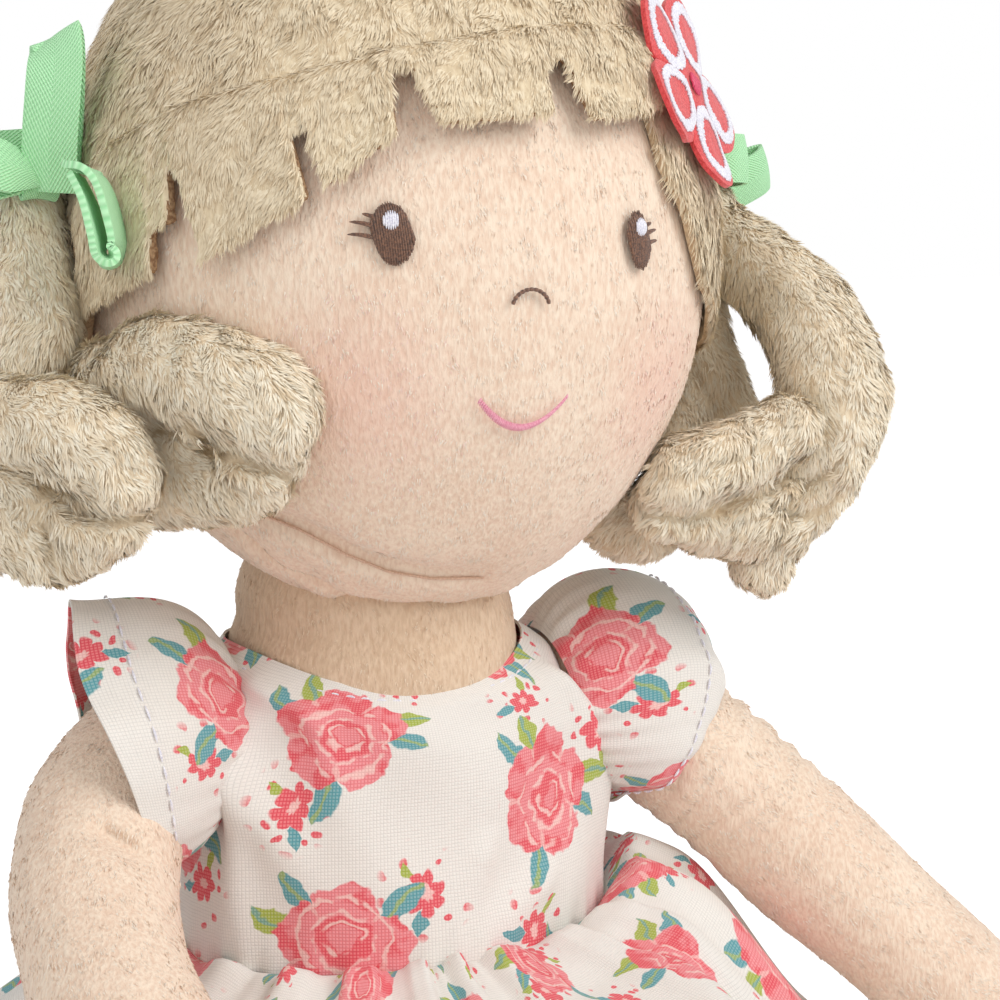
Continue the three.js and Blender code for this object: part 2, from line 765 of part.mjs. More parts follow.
// A disc that lies on the head, round the surface point in the given direction. outlineAt gives its
// [sideways, upward] reach at an angle.
function headDisc(centre, outlineAt, bottom, top, around, rows) {
  const out = centre.clone().normalize();
  const side = at(0, 0, 1).cross(out).normalize();
  const up = out.clone().cross(side);
  const project = (point, grow) => {
    const height = (point.z > 0 ? headTopHeight : headBottomHeight) + grow;
    const size = Math.hypot(
      point.x / (headHalfWidth + grow),
      point.y / (headHalfDepth + grow),
      point.z / height,
    );
    return point.clone().divideScalar(size);
  };
  const circle = (share, height) =>
    ring(around, (angle) => {
      const [sideways, upward] = outlineAt(angle);
      const flat = centre.clone().addScaledVector(side, share * sideways).addScaledVector(up, share * upward);
      return project(flat, height);
    });
  const shares = Array.from({ length: rows }, (_, j) => (j + 1) / rows);
  const solidDisc = () =>
    loft([
      [project(centre, top)],
      ...shares.map((share) => circle(share, top)),
      ...shares.toReversed().map((share) => circle(share, bottom)),
      [project(centre, bottom)],
    ]);
  const ringOf = (innerShare) =>
    loft([circle(1, top), circle(innerShare, top), circle(innerShare, bottom), circle(1, bottom)], true);
  return { solidDisc, ringOf };
}

const faceFront = (x, z) => {
  const height = z > 0 ? headTopHeight : headBottomHeight;
  return at(x, -headHalfDepth * Math.sqrt(1 - (x / headHalfWidth) ** 2 - (z / height) ** 2), z);
};

// A stitched line along the face, given as [sideways, upward] places in the head's own frame.
function stitchLine(places, radius, around = 6) {
  const points = places.map(([x, z]) => {
    const on = faceFront(x, z);
    return on.addScaledVector(on.clone().normalize(), threadHeight);
  });
  return stuffedTube(points, () => radius, around, points.length - 1, 0, 1);
}

const lashShares = [
  // foot on the eye's outline as an angle share of a turn, then lean of the lash
  [0.38, 0.42],
  [0.43, 0.47],
  [0.47, 0.51],
];

function eye(name) {
  const side = sides[name];
  const centre = faceFront(side * eyeOut, -eyeDrop);
  const outline = (angle) => [eyeHalfWidth * Math.cos(angle), eyeHalfHeight * Math.sin(angle)];
  const disc = headDisc(centre, outline, clearance, threadHeight + threadRadius, 16, 1).solidDisc();
  const lashes = lashShares.map(([foot, lean]) => {
    const footAngle = foot * fullTurn;
    const leanAngle = lean * fullTurn;
    const start = [0.9 * eyeHalfWidth * Math.cos(footAngle), 0.9 * eyeHalfHeight * Math.sin(footAngle)];
    const place = (reach) => [
      side * (eyeOut - start[0] - reach * Math.cos(leanAngle)),
      -eyeDrop + start[1] + reach * Math.sin(leanAngle),
    ];
    return stitchLine([place(0), place(lashLength / 2), place(lashLength)], threadRadius * 0.8, 4);
  });
  return join(disc, ...lashes);
}

function eyeHighlight(name) {
  const side = sides[name];
  const centre = faceFront(side * eyeOut, -eyeDrop + eyeHalfHeight * 0.4);
  const outline = (angle) => [highlightRadius * Math.cos(angle), 1.3 * highlightRadius * Math.sin(angle)];
  const bottom = threadHeight + threadRadius + clearance;
  return headDisc(centre, outline, bottom, bottom + threadRadius, 12, 1).solidDisc();
}

function noseStitch() {
  const steps = [-1, -0.6, 0, 0.6, 1];
  return stitchLine(
    steps.map((share) => [noseHalfWidth * share, -noseDrop + noseRise * (0.5 - share * share)]),
    threadRadius,
  );
}

function mouthStitch() {
  const steps = [-1, -0.5, 0, 0.5, 1];
  return stitchLine(
    steps.map((share) => [mouthHalfWidth * share, -mouthDrop + mouthRise * share * share]),
    threadRadius,
  );
}

const flowerPetals = 5;
const flowerSides = 5 * flowerPetals;

function flowerOutline(angle) {
  const petal = flowerRadius * (0.74 + 0.26 * Math.abs(Math.cos((flowerPetals / 2) * angle)));
  return [petal * Math.cos(angle), petal * Math.sin(angle)];
}

const flowerCentre = () => faceFront(flowerOut, flowerUp);
const flowerBottom = clearance + hairThickness + clearance;
const flowerTop = flowerBottom + flowerThickness;

function flowerPatch() {
  return headDisc(flowerCentre(), flowerOutline, flowerBottom, flowerTop, flowerSides, 2).solidDisc();
}

function flowerStitching() {
  const bottom = flowerTop + clearance;
  const innerShare = 1 - flowerStitchWidth / flowerRadius;
  const disc = headDisc(flowerCentre(), flowerOutline, bottom, bottom + threadRadius, flowerSides, 1);
  return disc.ringOf(innerShare);
}

function flowerCentreStitch() {
  const outline = (angle) => [flowerCentreRadius * Math.cos(angle), flowerCentreRadius * Math.sin(angle)];
  const bottom = flowerTop + clearance;
  return headDisc(flowerCentre(), outline, bottom, bottom + threadRadius, 14, 1).solidDisc();
}

// Hair bunches and their ribbons, in the head's own frame

const bunchRootOf = (side) => at(side * bunchOut, bunchBack, bunchUp);
const headShares = (shares) =>
  at(shares[0] * headHalfWidth, shares[1] * headHalfDepth, shares[2] * headTopHeight);

// The gathered hair that leaves the cap, turns down and goes through the ribbon.
function bunchRootForm(name, grow) {
  const side = sides[name];
  const root = bunchRootOf(side);
  const inner = ribbonWrapRadius - 2 * clearance + grow;
  const wrapTop = root.z + ribbonWrapLift + ribbonWrapHeight;
  const core = new THREE.CylinderGeometry(inner, inner, 2 * ribbonWrapHeight, 12)
    .rotateX(Math.PI / 2)
    .translate(root.x, root.y, wrapTop);
  const gatherCentre = at(root.x - side * inner, root.y, wrapTop + inner / 3);
  const gather = ellipsoid(gatherCentre, at(1.5 * inner, 1.05 * inner, 1.1 * inner));
  const low = wrapTop + clearance - grow;
  const wide = at(overrun, overrun, 0);
  const above = boxBetween(
    gatherCentre.clone().sub(wide).setZ(low),
    gatherCentre.clone().add(wide).setZ(low + overrun),
  );
  const below = boxBetween(
    gatherCentre.clone().sub(wide).setZ(root.z),
    gatherCentre.clone().add(wide).setZ(wrapTop + inner / 2),
  );
  return join(common(gather, above), common(core, below));
}

function bunchRoot(name) {
  const root = bunchRootOf(sides[name]);
  return cut(
    bunchRootForm(name, 0),
    headForm(clearance + hairThickness + clearance),
    ball(root, bunchRootRadius + jointClearance),
  );
}

function ribbonWrapForm(name, grow) {
  const root = bunchRootOf(sides[name]);
  const low = root.z + ribbonWrapLift - grow;
  const high = root.z + ribbonWrapLift + ribbonWrapHeight + grow;
  const circle = (radius, height) =>
    ring(14, (angle) => at(root.x + radius * Math.cos(angle), root.y + radius * Math.sin(angle), height));
  const inner = ribbonWrapRadius - grow;
  const outer = ribbonWrapRadius + ribbonThickness + grow;
  return loft([circle(inner, low), circle(outer, low), circle(outer, high), circle(inner, high)], true);
}

// A loop of tape that leaves the knot along a direction and comes back beside itself.
function tapeLoop(start, direction, across, length) {
  const along = direction.clone().normalize();
  const wide = across.clone().addScaledVector(along, -across.dot(along)).normalize();
  const apart = along.clone().cross(wide);
  const half = bowLoopGape / 2;
  const shares = [
    [0, -0.35],
    [0.3, -0.8],
    [0.62, -1.15],
    [0.86, -1],
    [1, 0],
    [0.86, 1],
    [0.62, 1.15],
    [0.3, 0.8],
    [0, 0.35],
  ];
  const points = shares.map(([far, beside]) =>
    start.clone().addScaledVector(along, far * length).addScaledVector(apart, beside * half),
  );
  const curve = new THREE.CatmullRomCurve3(points);
  const steps = 8;
  const rings = Array.from({ length: steps + 1 }, (_, i) => {
    const centre = curve.getPointAt(i / steps);
    const tangent = curve.getTangentAt(i / steps);
    const normal = tangent.clone().cross(wide).normalize();
    const far = centre.clone().sub(start).dot(along) / length;
    const gathered = Math.min(1, 0.42 + 2 * far);
    const corner = (w, n) =>
      centre
        .clone()
        .addScaledVector(wide, (w * gathered * ribbonWidth) / 2)
        .addScaledVector(normal, (n * ribbonThickness) / 2);
    return [corner(-1, -1), corner(1, -1), corner(1, 1), corner(-1, 1)];
  });
  return loft(rings);
}

// Loops of each bow: direction, the way its width lies, and its length as a share of the longest.
const bowLoopShares = {
  right: [
    { direction: [0.15, -0.1, 1], across: [1, -0.6, 0], lengthShare: 1 },
    { direction: [-1, -0.3, 0.25], across: [0, 0.2, 1], lengthShare: 0.75 },
    { direction: [0.3, -0.48, -0.85], across: [0.5, -1, 0], lengthShare: 0.68 },
  ],
  left: [
    { direction: [1, 0.15, 0.5], across: [-0.3, -0.3, 1], lengthShare: 0.75 },
    { direction: [-0.15, 1, -0.3], across: [0.2, 0.3, 1], lengthShare: 0.6 },
  ],
};
const knotDirections = { right: at(0.25, -1, 0), left: at(0.35, 1, 0) };

function ribbonBow(name) {
  const root = bunchRootOf(sides[name]);
  const out = knotDirections[name].clone().normalize();
  const reach = ribbonWrapRadius + ribbonThickness + 2 * clearance + bowKnotDepth;
  const middle = root.z + ribbonWrapLift + ribbonWrapHeight / 2;
  const centre = at(root.x, root.y, middle).addScaledVector(out, reach);
  const knot = ellipsoid(centre, at(ribbonWidth / 2, bowKnotDepth, ribbonWidth / 2), 10, 6);
  const loops = bowLoopShares[name].map(({ direction, across, lengthShare }) =>
    tapeLoop(centre, at(...direction), at(...across), lengthShare * bowLoopLength),
  );
  return join(knot, ...loops);
}

// Strands of each bunch. Each arm of a strand is a list of places as shares of the head's half
// width, half depth and height, and radiusShares are shares of the strand radius along it.
const strandTables = {
  right: {
    upper_strand: {
      arms: [[[-1.19, 0.09, 0.1], [-1.21, 0.09, -0.07], [-1.23, 0.05, -0.24], [-1.25, 0.1, -0.42]]],
      radiusShares: [0.86, 1.08, 1.18, 1.1, 0.95],
    },
    lower_curl: {
      arms: [
        [[-1.38, -0.03, -0.41], [-1.19, -0.24, -0.46], [-1.06, -0.38, -0.6]],
        [[-1.08, -0.31, -0.66], [-1.19, -0.15, -0.72], [-1.34, -0.01, -0.73]],
      ],
      radiusShares: [0.9, 1, 0.95],
    },
    cheek_curl: {
      arms: [
        [[-1.02, -0.16, -0.38], [-0.84, -0.42, -0.35], [-0.7, -0.68, -0.46]],
        [[-0.69, -0.7, -0.56], [-0.81, -0.42, -0.64], [-0.95, -0.24, -0.68]],
      ],
      radiusShares: [0.95, 1.08, 1],
    },
  },
  left: {
    outer_loop: {
      arms: [
        [
          [1.19, 0.09, 0.1],
          [1.23, 0.05, -0.04],
          [1.35, -0.09, -0.15],
          [1.44, -0.27, -0.3],
          [1.45, -0.39, -0.52],
          [1.38, -0.36, -0.74],
          [1.22, -0.24, -0.91],
        ],
      ],
      radiusShares: [0.86, 1, 1.12, 1.15, 1.1, 1.05, 0.95],
    },
    inner_strand: {
      arms: [[[1.18, 0.18, -0.06], [1.23, 0.12, -0.24], [1.2, 0.07, -0.45], [1.11, 0.08, -0.62]]],
      radiusShares: [0.85, 0.9, 0.9, 0.8],
    },
    front_curl: {
      arms: [
        [[1.19, -0.51, -0.59], [0.92, -0.46, -0.67], [0.77, -0.36, -0.73]],
        [[0.78, -0.32, -0.8], [0.94, -0.26, -0.9], [1.06, -0.26, -0.95]],
      ],
      radiusShares: [0.9, 1, 0.95],
    },
    end_tuft: {
      arms: [[[1.2, -0.22, -0.93], [1.18, -0.19, -1.04]]],
      radiusShares: [0.8, 0.75],
    },
    back_curl: {
      arms: [[[0.88, 0.02, -0.9], [0.8, 0.14, -0.86], [0.79, 0.26, -0.76]]],
      radiusShares: [0.8, 0.85, 0.8],
    },
  },
};

function strandForm(name, table, grow) {
  const root = bunchRootOf(sides[name]);
  const tubes = table.arms.map((arm) =>
    stuffedTube(
      arm.map((shares) => headShares(shares).sub(root)),
      (share) => strandRadius * steppedValue(table.radiusShares, share),
      8,
      2 * arm.length - 1,
      grow,
    ),
  );
  return join(...tubes);
}

// What a bunch must stay clear of, seen from the bunch as it swings out from the head.
function headSweep(name) {
  const side = sides[name];
  const root = bunchRootOf(side);
  const still = join(headForm(skinThickness), hairCapForm(2 * clearance));
  still.translate(-root.x, -root.y, -root.z);
  return [0, 1].map((share) => still.clone().rotateY(side * share * bunchSwing));
}

function bunchStrands(name) {
  const keepOut = headSweep(name);
  const larger = [];
  return Object.entries(strandTables[name]).map(([strandName, table]) => {
    const geometry = mainBody(cut(strandForm(name, table, 0), ...keepOut, ...larger));
    larger.push(strandForm(name, table, clearance));
    return [`${strandName}_${name}`, geometry];
  });
}

// Materials and assembly

const finishes = {
  plush: { color: 0xf0d9bf, roughness: 0.95 },
  hair: { color: 0xc9b18a, roughness: 1 },
  filling: { color: 0xf4f2ee, roughness: 1 },
  pellets: { color: 0xdedad2, roughness: 0.9 },
  cotton: { color: 0xf6efe8, roughness: 0.9 },
  tape: { color: 0xf2f2f2, roughness: 0.8 },
  ribbon: { color: 0x8fd39a, roughness: 0.7 },
  brownThread: { color: 0x6b4a3a, roughness: 0.6 },
  pinkThread: { color: 0xdc7896, roughness: 0.6 },
  whiteThread: { color: 0xfaf7fa, roughness: 0.5 },
  coralFelt: { color: 0xe8585c, roughness: 0.9 },
};

function piece(parent, name, geometry, finish) {
  geometry.computeVertexNormals();
  const material = new THREE.MeshStandardMaterial({ metalness: 0, ...finishes[finish] });
  const mesh = new THREE.Mesh(geometry, material);
  mesh.name = name;
  parent.add(mesh);
}

const doll = new THREE.Group();

piece(doll, 'torso_skin', torsoSkin(), 'plush');
piece(doll, 'torso_stuffing', torsoStuffing(), 'filling');
piece(doll, 'pellet_pouch', pelletPouch(), 'pellets');
piece(doll, 'dress_bodice', dressBodice(), 'cotton');
piece(doll, 'dress_skirt', dressSkirt(), 'cotton');
piece(doll, 'closure_loop_tape', closureStrip(0), 'tape');
piece(doll, 'closure_hook_tape', closureStrip(1), 'tape');
piece(doll, 'closure_flap', closureStrip(2), 'cotton');
piece(doll, 'neck_skin', neckSkin(), 'plush');
piece(doll, 'neck_stuffing', neckForm(-skinThickness - clearance), 'filling');

for (const name of limbNames) {
  const side = sides[name];
  const armHole = fillingHole(shoulderOf(side).addScaledVector(at(side, 0, 0), -armRadius), armRadius, true);
  const legHole = fillingHole(hipOf(side).addScaledVector(at(0, 1, 0), legRadius), legRadius, false);
  const armCavity = armForm(name, -hiddenInset, coarse);
  const legCavity = legForm(name, -hiddenInset, coarse);
  piece(doll, `arm_skin_${name}`, cut(armForm(name, 0), armCavity, armHole), 'plush');
  piece(doll, `arm_stuffing_${name}`, armForm(name, -fillingInset, coarse), 'filling');
  piece(doll, `sleeve_${name}`, sleeve(name), 'cotton');
  piece(doll, `leg_skin_${name}`, cut(legForm(name, 0), legCavity, legHole), 'plush');
  piece(doll, `leg_stuffing_${name}`, legForm(name, -fillingInset, coarse), 'filling');
}

const head = new THREE.Group();
head.position.set(0, -headForward, headCentreHeight);
head.rotation.x = -headTilt;
doll.add(head);

piece(head, 'face_panel', headPanel(true), 'plush');
piece(head, 'head_back_panel', headPanel(false), 'plush');
piece(head, 'head_stuffing', headStuffing(), 'filling');
piece(head, 'hair_cap', hairCapForm(0), 'hair');
piece(head, 'fringe', fringe(), 'hair');
piece(head, 'nose_stitch', noseStitch(), 'brownThread');
piece(head, 'mouth_stitch', mouthStitch(), 'pinkThread');
piece(head, 'flower_patch', flowerPatch(), 'coralFelt');
piece(head, 'flower_stitching', flowerStitching(), 'whiteThread');
piece(head, 'flower_centre', flowerCentreStitch(), 'coralFelt');

for (const name of limbNames) {
  piece(head, `eye_${name}`, eye(name), 'brownThread');
  piece(head, `eye_highlight_${name}`, eyeHighlight(name), 'whiteThread');
  piece(head, `bunch_root_${name}`, bunchRoot(name), 'hair');
  piece(head, `ribbon_wrap_${name}`, ribbonWrapForm(name, 0), 'ribbon');
  piece(head, `ribbon_bow_${name}`, ribbonBow(name), 'ribbon');
  const bunch = new THREE.Group();
  bunch.position.copy(bunchRootOf(sides[name]));
  head.add(bunch);
  bunchStrands(name).forEach(([strandName, geometry]) => piece(bunch, strandName, geometry, 'hair'));
}

export default doll;
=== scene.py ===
# %% [markdown]
# A seated rag doll: plush head and limbs, embroidered face, hair of longer plush in two ribboned
# bunches, and a gathered cotton dress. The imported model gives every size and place. This script
# dresses that frame with soft, detailed pieces, one cell at a time.

import math

import bpy
import numpy as np
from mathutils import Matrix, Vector


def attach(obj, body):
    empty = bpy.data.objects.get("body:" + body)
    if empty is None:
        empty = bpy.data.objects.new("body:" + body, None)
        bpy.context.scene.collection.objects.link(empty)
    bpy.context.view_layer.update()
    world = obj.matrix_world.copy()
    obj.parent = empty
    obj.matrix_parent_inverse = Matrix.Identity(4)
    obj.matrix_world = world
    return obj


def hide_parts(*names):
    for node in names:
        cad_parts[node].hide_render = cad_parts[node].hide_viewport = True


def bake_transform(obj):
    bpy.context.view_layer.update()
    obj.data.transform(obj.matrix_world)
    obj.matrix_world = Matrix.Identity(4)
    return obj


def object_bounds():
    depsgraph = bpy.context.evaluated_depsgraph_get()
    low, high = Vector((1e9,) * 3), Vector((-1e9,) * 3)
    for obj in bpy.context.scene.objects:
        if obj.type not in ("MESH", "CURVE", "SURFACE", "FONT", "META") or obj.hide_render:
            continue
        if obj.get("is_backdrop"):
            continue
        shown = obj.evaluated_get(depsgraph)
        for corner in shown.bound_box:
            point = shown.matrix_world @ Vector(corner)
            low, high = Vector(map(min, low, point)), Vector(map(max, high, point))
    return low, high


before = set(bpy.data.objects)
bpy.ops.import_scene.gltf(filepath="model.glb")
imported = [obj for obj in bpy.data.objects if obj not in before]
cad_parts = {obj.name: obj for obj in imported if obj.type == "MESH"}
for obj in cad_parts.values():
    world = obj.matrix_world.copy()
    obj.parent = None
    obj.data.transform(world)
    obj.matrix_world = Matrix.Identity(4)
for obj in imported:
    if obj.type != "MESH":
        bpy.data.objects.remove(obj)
cad_box = [list(corner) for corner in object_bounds()]
MM = 0.001

# %% [markdown]
# The camera stands where the photograph was taken: a little above the doll's eyes, in front of its
# right shoulder, looking slightly down. A long lens keeps the head from swelling.

# %% Camera
CAMERA_PLACE = Vector((-0.2005, -0.4458, 0.2033))
CAMERA_AIM = Vector((0.4496, 0.8823, -0.1392))
LENS, SENSOR = 86.4, 36


def aimed(way):
    """The turn that points a camera or lamp along a way."""
    return way.to_track_quat("-Z", "Y").to_euler()


bpy.ops.object.camera_add(location=CAMERA_PLACE, rotation=aimed(CAMERA_AIM))
camera = bpy.context.object
camera.data.lens = LENS
camera.data.sensor_width = SENSOR
bpy.context.scene.camera = camera
bpy.context.scene.view_settings.view_transform = "Standard"
print("camera at", [round(x, 3) for x in CAMERA_PLACE])

# %% [markdown]
# The photograph has soft, nearly shadowless light on a white ground. An even sky of light does most
# of it, and a strong and a weak large lamp, both from above the face, give the plush its gentle
# shading. The ground turns white for the camera alone, so that it throws no extra light on the doll.

# %% Light and ground
def linear(red, green, blue):
    """A colour as a screen shows it, from 0 to 255, in the linear values that shaders take."""
    shares = [c / 255 for c in (red, green, blue)]
    return tuple(s / 12.92 if s <= 0.04045 else ((s + 0.055) / 1.055) ** 2.4 for s in shares) + (1.0,)


LIT = Vector((0, 0, 0.14))
SKY_STRENGTH, GROUND_GLOW = 0.54, 0.6


def add_light(name, place, size, watts):
    bpy.ops.object.light_add(type="AREA", location=place, rotation=aimed(LIT - Vector(place)))
    lamp = bpy.context.object
    lamp.name = name
    lamp.data.size = size
    lamp.data.energy = watts


def white_for_camera(tree, shaded, output, strength):
    """Shows the camera, and what mirrors it, plain white on top of the shaded ground or sky."""
    new, link = tree.nodes.new, tree.links.new
    glow = new("ShaderNodeBackground" if output.type == "OUTPUT_WORLD" else "ShaderNodeEmission")
    glow.inputs["Strength"].default_value = strength
    rays = new("ShaderNodeLightPath").outputs
    seen = rays["Is Camera Ray"]
    for ray in ("Is Glossy Ray", "Is Transmission Ray"):
        either = new("ShaderNodeMath")
        either.operation = "MAXIMUM"
        link(seen, either.inputs[0])
        link(rays[ray], either.inputs[1])
        seen = either.outputs[0]
    choose = new("ShaderNodeMixShader")
    link(seen, choose.inputs[0])
    link(shaded.outputs[0], choose.inputs[1])
    link(choose.outputs[0], output.inputs["Surface"])
    return glow, choose


world = bpy.data.worlds.new("studio")
bpy.context.scene.world = world
world.use_nodes = True
sky = world.node_tree.nodes["Background"]
sky.inputs["Color"].default_value = (1, 1, 1, 1)
sky.inputs["Strength"].default_value = SKY_STRENGTH
glow, choose = white_for_camera(world.node_tree, sky, world.node_tree.nodes["World Output"], 1.0)
glow.inputs["Color"].default_value = (1, 1, 1, 1)
world.node_tree.links.new(glow.outputs[0], choose.inputs[2])

bpy.ops.mesh.primitive_plane_add(size=6)
floor = bpy.context.object
floor.name = "floor"
ground = bpy.data.materials.new("ground")
ground.use_nodes = True
base = ground.node_tree.nodes["Principled BSDF"]
base.inputs["Base Color"].default_value = (0.85, 0.85, 0.85, 1)
base.inputs["Roughness"].default_value = 1.0
base.inputs["Specular IOR Level"].default_value = 0.0
output = ground.node_tree.nodes["Material Output"]
glow, choose = white_for_camera(ground.node_tree, base, output, GROUND_GLOW)
both = ground.node_tree.nodes.new("ShaderNodeAddShader")
ground.node_tree.links.new(base.outputs[0], both.inputs[0])
ground.node_tree.links.new(glow.outputs[0], both.inputs[1])
ground.node_tree.links.new(both.outputs[0], choose.inputs[2])
floor.data.materials.append(ground)
floor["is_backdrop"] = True

add_light("key", (0.6, -0.85, 0.9), 0.8, 9.0)
add_light("fill", (-0.9, -0.6, 0.7), 0.9, 3.2)

# %% [markdown]
# Every finish below is a small graph of nodes around one Principled shader. The class adds a node,
# feeds it and gives back its output, so that a graph reads like a sum. Lengths in it are in
# millimetres, because the Object coordinates or the cloth's own are scaled once at the start.

# %% Finishes
class Finish:
    def __init__(self, name, roughness=0.9, **sockets):
        self.material = bpy.data.materials.new(name)
        self.material.use_nodes = True
        self.tree = self.material.node_tree
        self.shader = self.tree.nodes["Principled BSDF"]
        self.shader.inputs["Roughness"].default_value = roughness
        self.shader.inputs["Specular IOR Level"].default_value = 0.25
        for socket, value in sockets.items():
            self.shader.inputs[socket.replace("_", " ")].default_value = value

    def add(self, kind, *values, out=0, **settings):
        node = self.tree.nodes.new("ShaderNode" + kind)
        for key, value in settings.items():
            setattr(node, key, value)
        for socket, value in zip(node.inputs, values):
            if isinstance(value, bpy.types.NodeSocket):
                self.tree.links.new(value, socket)
            elif value is not None:
                socket.default_value = value
        return node.outputs[out]

    def math(self, operation, *values):
        return self.add("Math", *values, operation=operation)

    def vector(self, operation, *values, out=0):
        return self.add("VectorMath", *values, operation=operation, out=out)

    def times(self, first, *others):
        for other in others:
            first = self.math("MULTIPLY", first, other)
        return first

    def scaled(self, vector, scale):
        return self.vector("MULTIPLY", vector, scale if hasattr(scale, "__len__") else (scale,) * 3)

    def turned(self, vector, angle):
        return self.add("VectorRotate", vector, (0, 0, 0), (0, 0, 1), angle, rotation_type="Z_AXIS")

    def parts(self, vector):
        """The x, y and z of a vector."""
        return self.add("SeparateXYZ", vector, out=slice(3))

    def place(self):
        """The point on the resting object, in millimetres."""
        return self.scaled(self.add("TexCoord", out=3), 1000)

    def cloth_place(self):
        """The point on the flat cloth, in millimetres from the corner of the cut."""
        return self.scaled(self.add("UVMap"), 100)

    def noise(self, vector, size, detail=2.0, out=0):
        return self.add("TexNoise", vector, None, 1 / size, detail, out=out)

    def ramp(self, value, low, high, start=0.0, end=1.0):
        """Turns low..high into start..end."""
        return self.add("MapRange", value, low, high, start, end, interpolation_type="SMOOTHSTEP")

    def mix(self, share, first, second, **settings):
        unused = [None] * 5
        return self.add("Mix", share, *unused, first, second, out=2, data_type="RGBA", **settings)

    def mottled(self, value, low, high, first, second):
        """Two colours, the first where a value is low and the second where it is high."""
        return self.mix(self.ramp(value, low, high), linear(*first), linear(*second))

    def done(self, colour=None, height=None, depth=0.1, strength=0.6):
        if colour is not None:
            self.tree.links.new(colour, self.shader.inputs["Base Color"])
        if height is not None:
            bump = self.tree.nodes.new("ShaderNodeBump")
            bump.inputs["Strength"].default_value = strength
            bump.inputs["Distance"].default_value = depth * MM
            self.tree.links.new(height, bump.inputs["Height"])
            self.tree.links.new(bump.outputs[0], self.shader.inputs["Normal"])
        return self.material


def plain(name, colour, roughness=0.85, **sockets):
    finish = Finish(name, roughness, **sockets)
    finish.shader.inputs["Base Color"].default_value = linear(*colour)
    return finish.material


# %% [markdown]
# The body is short plush. Its backing shows between the hairs as a warm tone with fine upright
# streaks, as knitted plush has, and the cheeks are brushed with a little pink. The hairs themselves
# are a separate piece, so this finish only has to be right in the gaps. The neck's plush and hairs
# are painted darker, as painted shade under the head, and the curls' are painted paler than the
# cap's, as painted light on them.

# %% Plush finishes
BLUSH = linear(240, 184, 168)
CHEEKS = [((-31, -55, 161), 27), ((37, -52, 160), 25)]
STREAK = (1.0, 1.0, 0.3)


def plush(name, dark, light, grain, blush=()):
    finish = Finish(name, 1.0, Sheen_Weight=0.25, Sheen_Roughness=0.5)
    place = finish.place()
    fine = finish.noise(finish.scaled(place, STREAK), grain, 3.0)
    patches = finish.noise(place, 22.0, 1.0)
    colour = finish.mottled(finish.math("MULTIPLY_ADD", patches, 0.35, fine), 0.42, 0.9, dark, light)
    for centre, radius in blush:
        apart = finish.vector("DISTANCE", place, centre, out=1)
        colour = finish.mix(finish.ramp(apart, radius, 0.0, 0.0, 0.4), colour, BLUSH)
    return finish.done(colour, fine, 0.5, 0.8)


def pile_shades(name, colours):
    return [plain(f"{name}_{i}", c, 1.0, Sheen_Weight=0.2) for i, c in enumerate(colours)]


skin_backing = plush("skin_plush", (232, 202, 178), (248, 228, 206), 0.7, blush=CHEEKS)
# The neck's backing is darker than the face's: painted shade under the head.
neck_backing_painted_shade = plush("neck_plush", (212, 182, 152), (232, 206, 178), 0.7)
hair_backing = plush("hair_plush", (210, 188, 154), (235, 217, 185), 0.9)
# The curls are the cap's plush, painted paler: painted light on the bunches.
curl_backing_painted_light = plush("curl_plush", (220, 198, 166), (244, 228, 200), 0.9)
skin_pile = pile_shades(
    "skin_pile", [(243, 230, 214), (240, 223, 205), (234, 211, 190), (242, 213, 199), (236, 201, 187)]
)
# The neck's hairs are darker than the face's: painted shade under the head.
neck_pile = pile_shades("neck_pile", [(236, 216, 192), (230, 206, 180), (220, 192, 163)])
hair_pile = pile_shades("hair_pile", [(242, 226, 197), (235, 217, 186), (223, 202, 169)])
# The curls' hairs are paler than the cap's: painted light.
curl_pile = pile_shades("curl_pile", [(250, 240, 219), (245, 230, 204), (234, 215, 185)])
print("plush finishes:", skin_backing.name, hair_backing.name)

# %% [markdown]
# Shaping starts from a primitive and ends in plain vertex positions. These helpers read and
# write those positions in millimetres, apply a modifier at once, and keep each finished object at
# the origin, unturned, as the frame's own nodes are.

# %% Shaping helpers
def deselect():
    bpy.ops.object.select_all(action="DESELECT")


def only(obj):
    deselect()
    obj.select_set(True)
    bpy.context.view_layer.objects.active = obj


def read(items, attribute, size=3, kind=np.float32):
    """An attribute of every item, one row for each."""
    flat = np.empty(size * len(items), kind)
    items.foreach_get(attribute, flat)
    return flat.reshape(-1, size)


def points_of(obj):
    return read(obj.data.vertices, "co").astype(float) / MM


def normals_of(obj):
    return read(obj.data.vertex_normals, "vector").astype(float)


def set_points(obj, points):
    obj.data.vertices.foreach_set("co", (np.asarray(points) * MM).astype(np.float32).ravel())
    obj.data.update()


def new_sphere(segments, rings):
    """A sphere of radius 1. Its faces are put in order, because Blender's changes from run to run."""
    deselect()
    bpy.ops.mesh.primitive_uv_sphere_add(segments=segments, ring_count=rings, radius=1)
    sphere = bpy.context.object
    places = read(sphere.data.vertices, "co")
    faces = sorted(tuple(face.vertices) for face in sphere.data.polygons)
    sphere.data.clear_geometry()
    sphere.data.from_pydata(places, [], faces)
    return sphere


def mode(kind):
    bpy.ops.object.mode_set(mode=kind)


def delete_points(obj, chosen):
    mode("EDIT")
    bpy.ops.mesh.select_all(action="DESELECT")
    mode("OBJECT")
    obj.data.vertices.foreach_set("select", chosen)
    mode("EDIT")
    bpy.ops.mesh.delete(type="VERT")
    mode("OBJECT")


def modify(obj, kind, **settings):
    only(obj)
    modifier = obj.modifiers.new(kind.lower(), kind)
    for key, value in settings.items():
        setattr(modifier, key, value)
    bpy.ops.object.modifier_apply(modifier=modifier.name)


def apply_place(obj):
    only(obj)
    bpy.ops.object.transform_apply(location=True, rotation=True, scale=True)


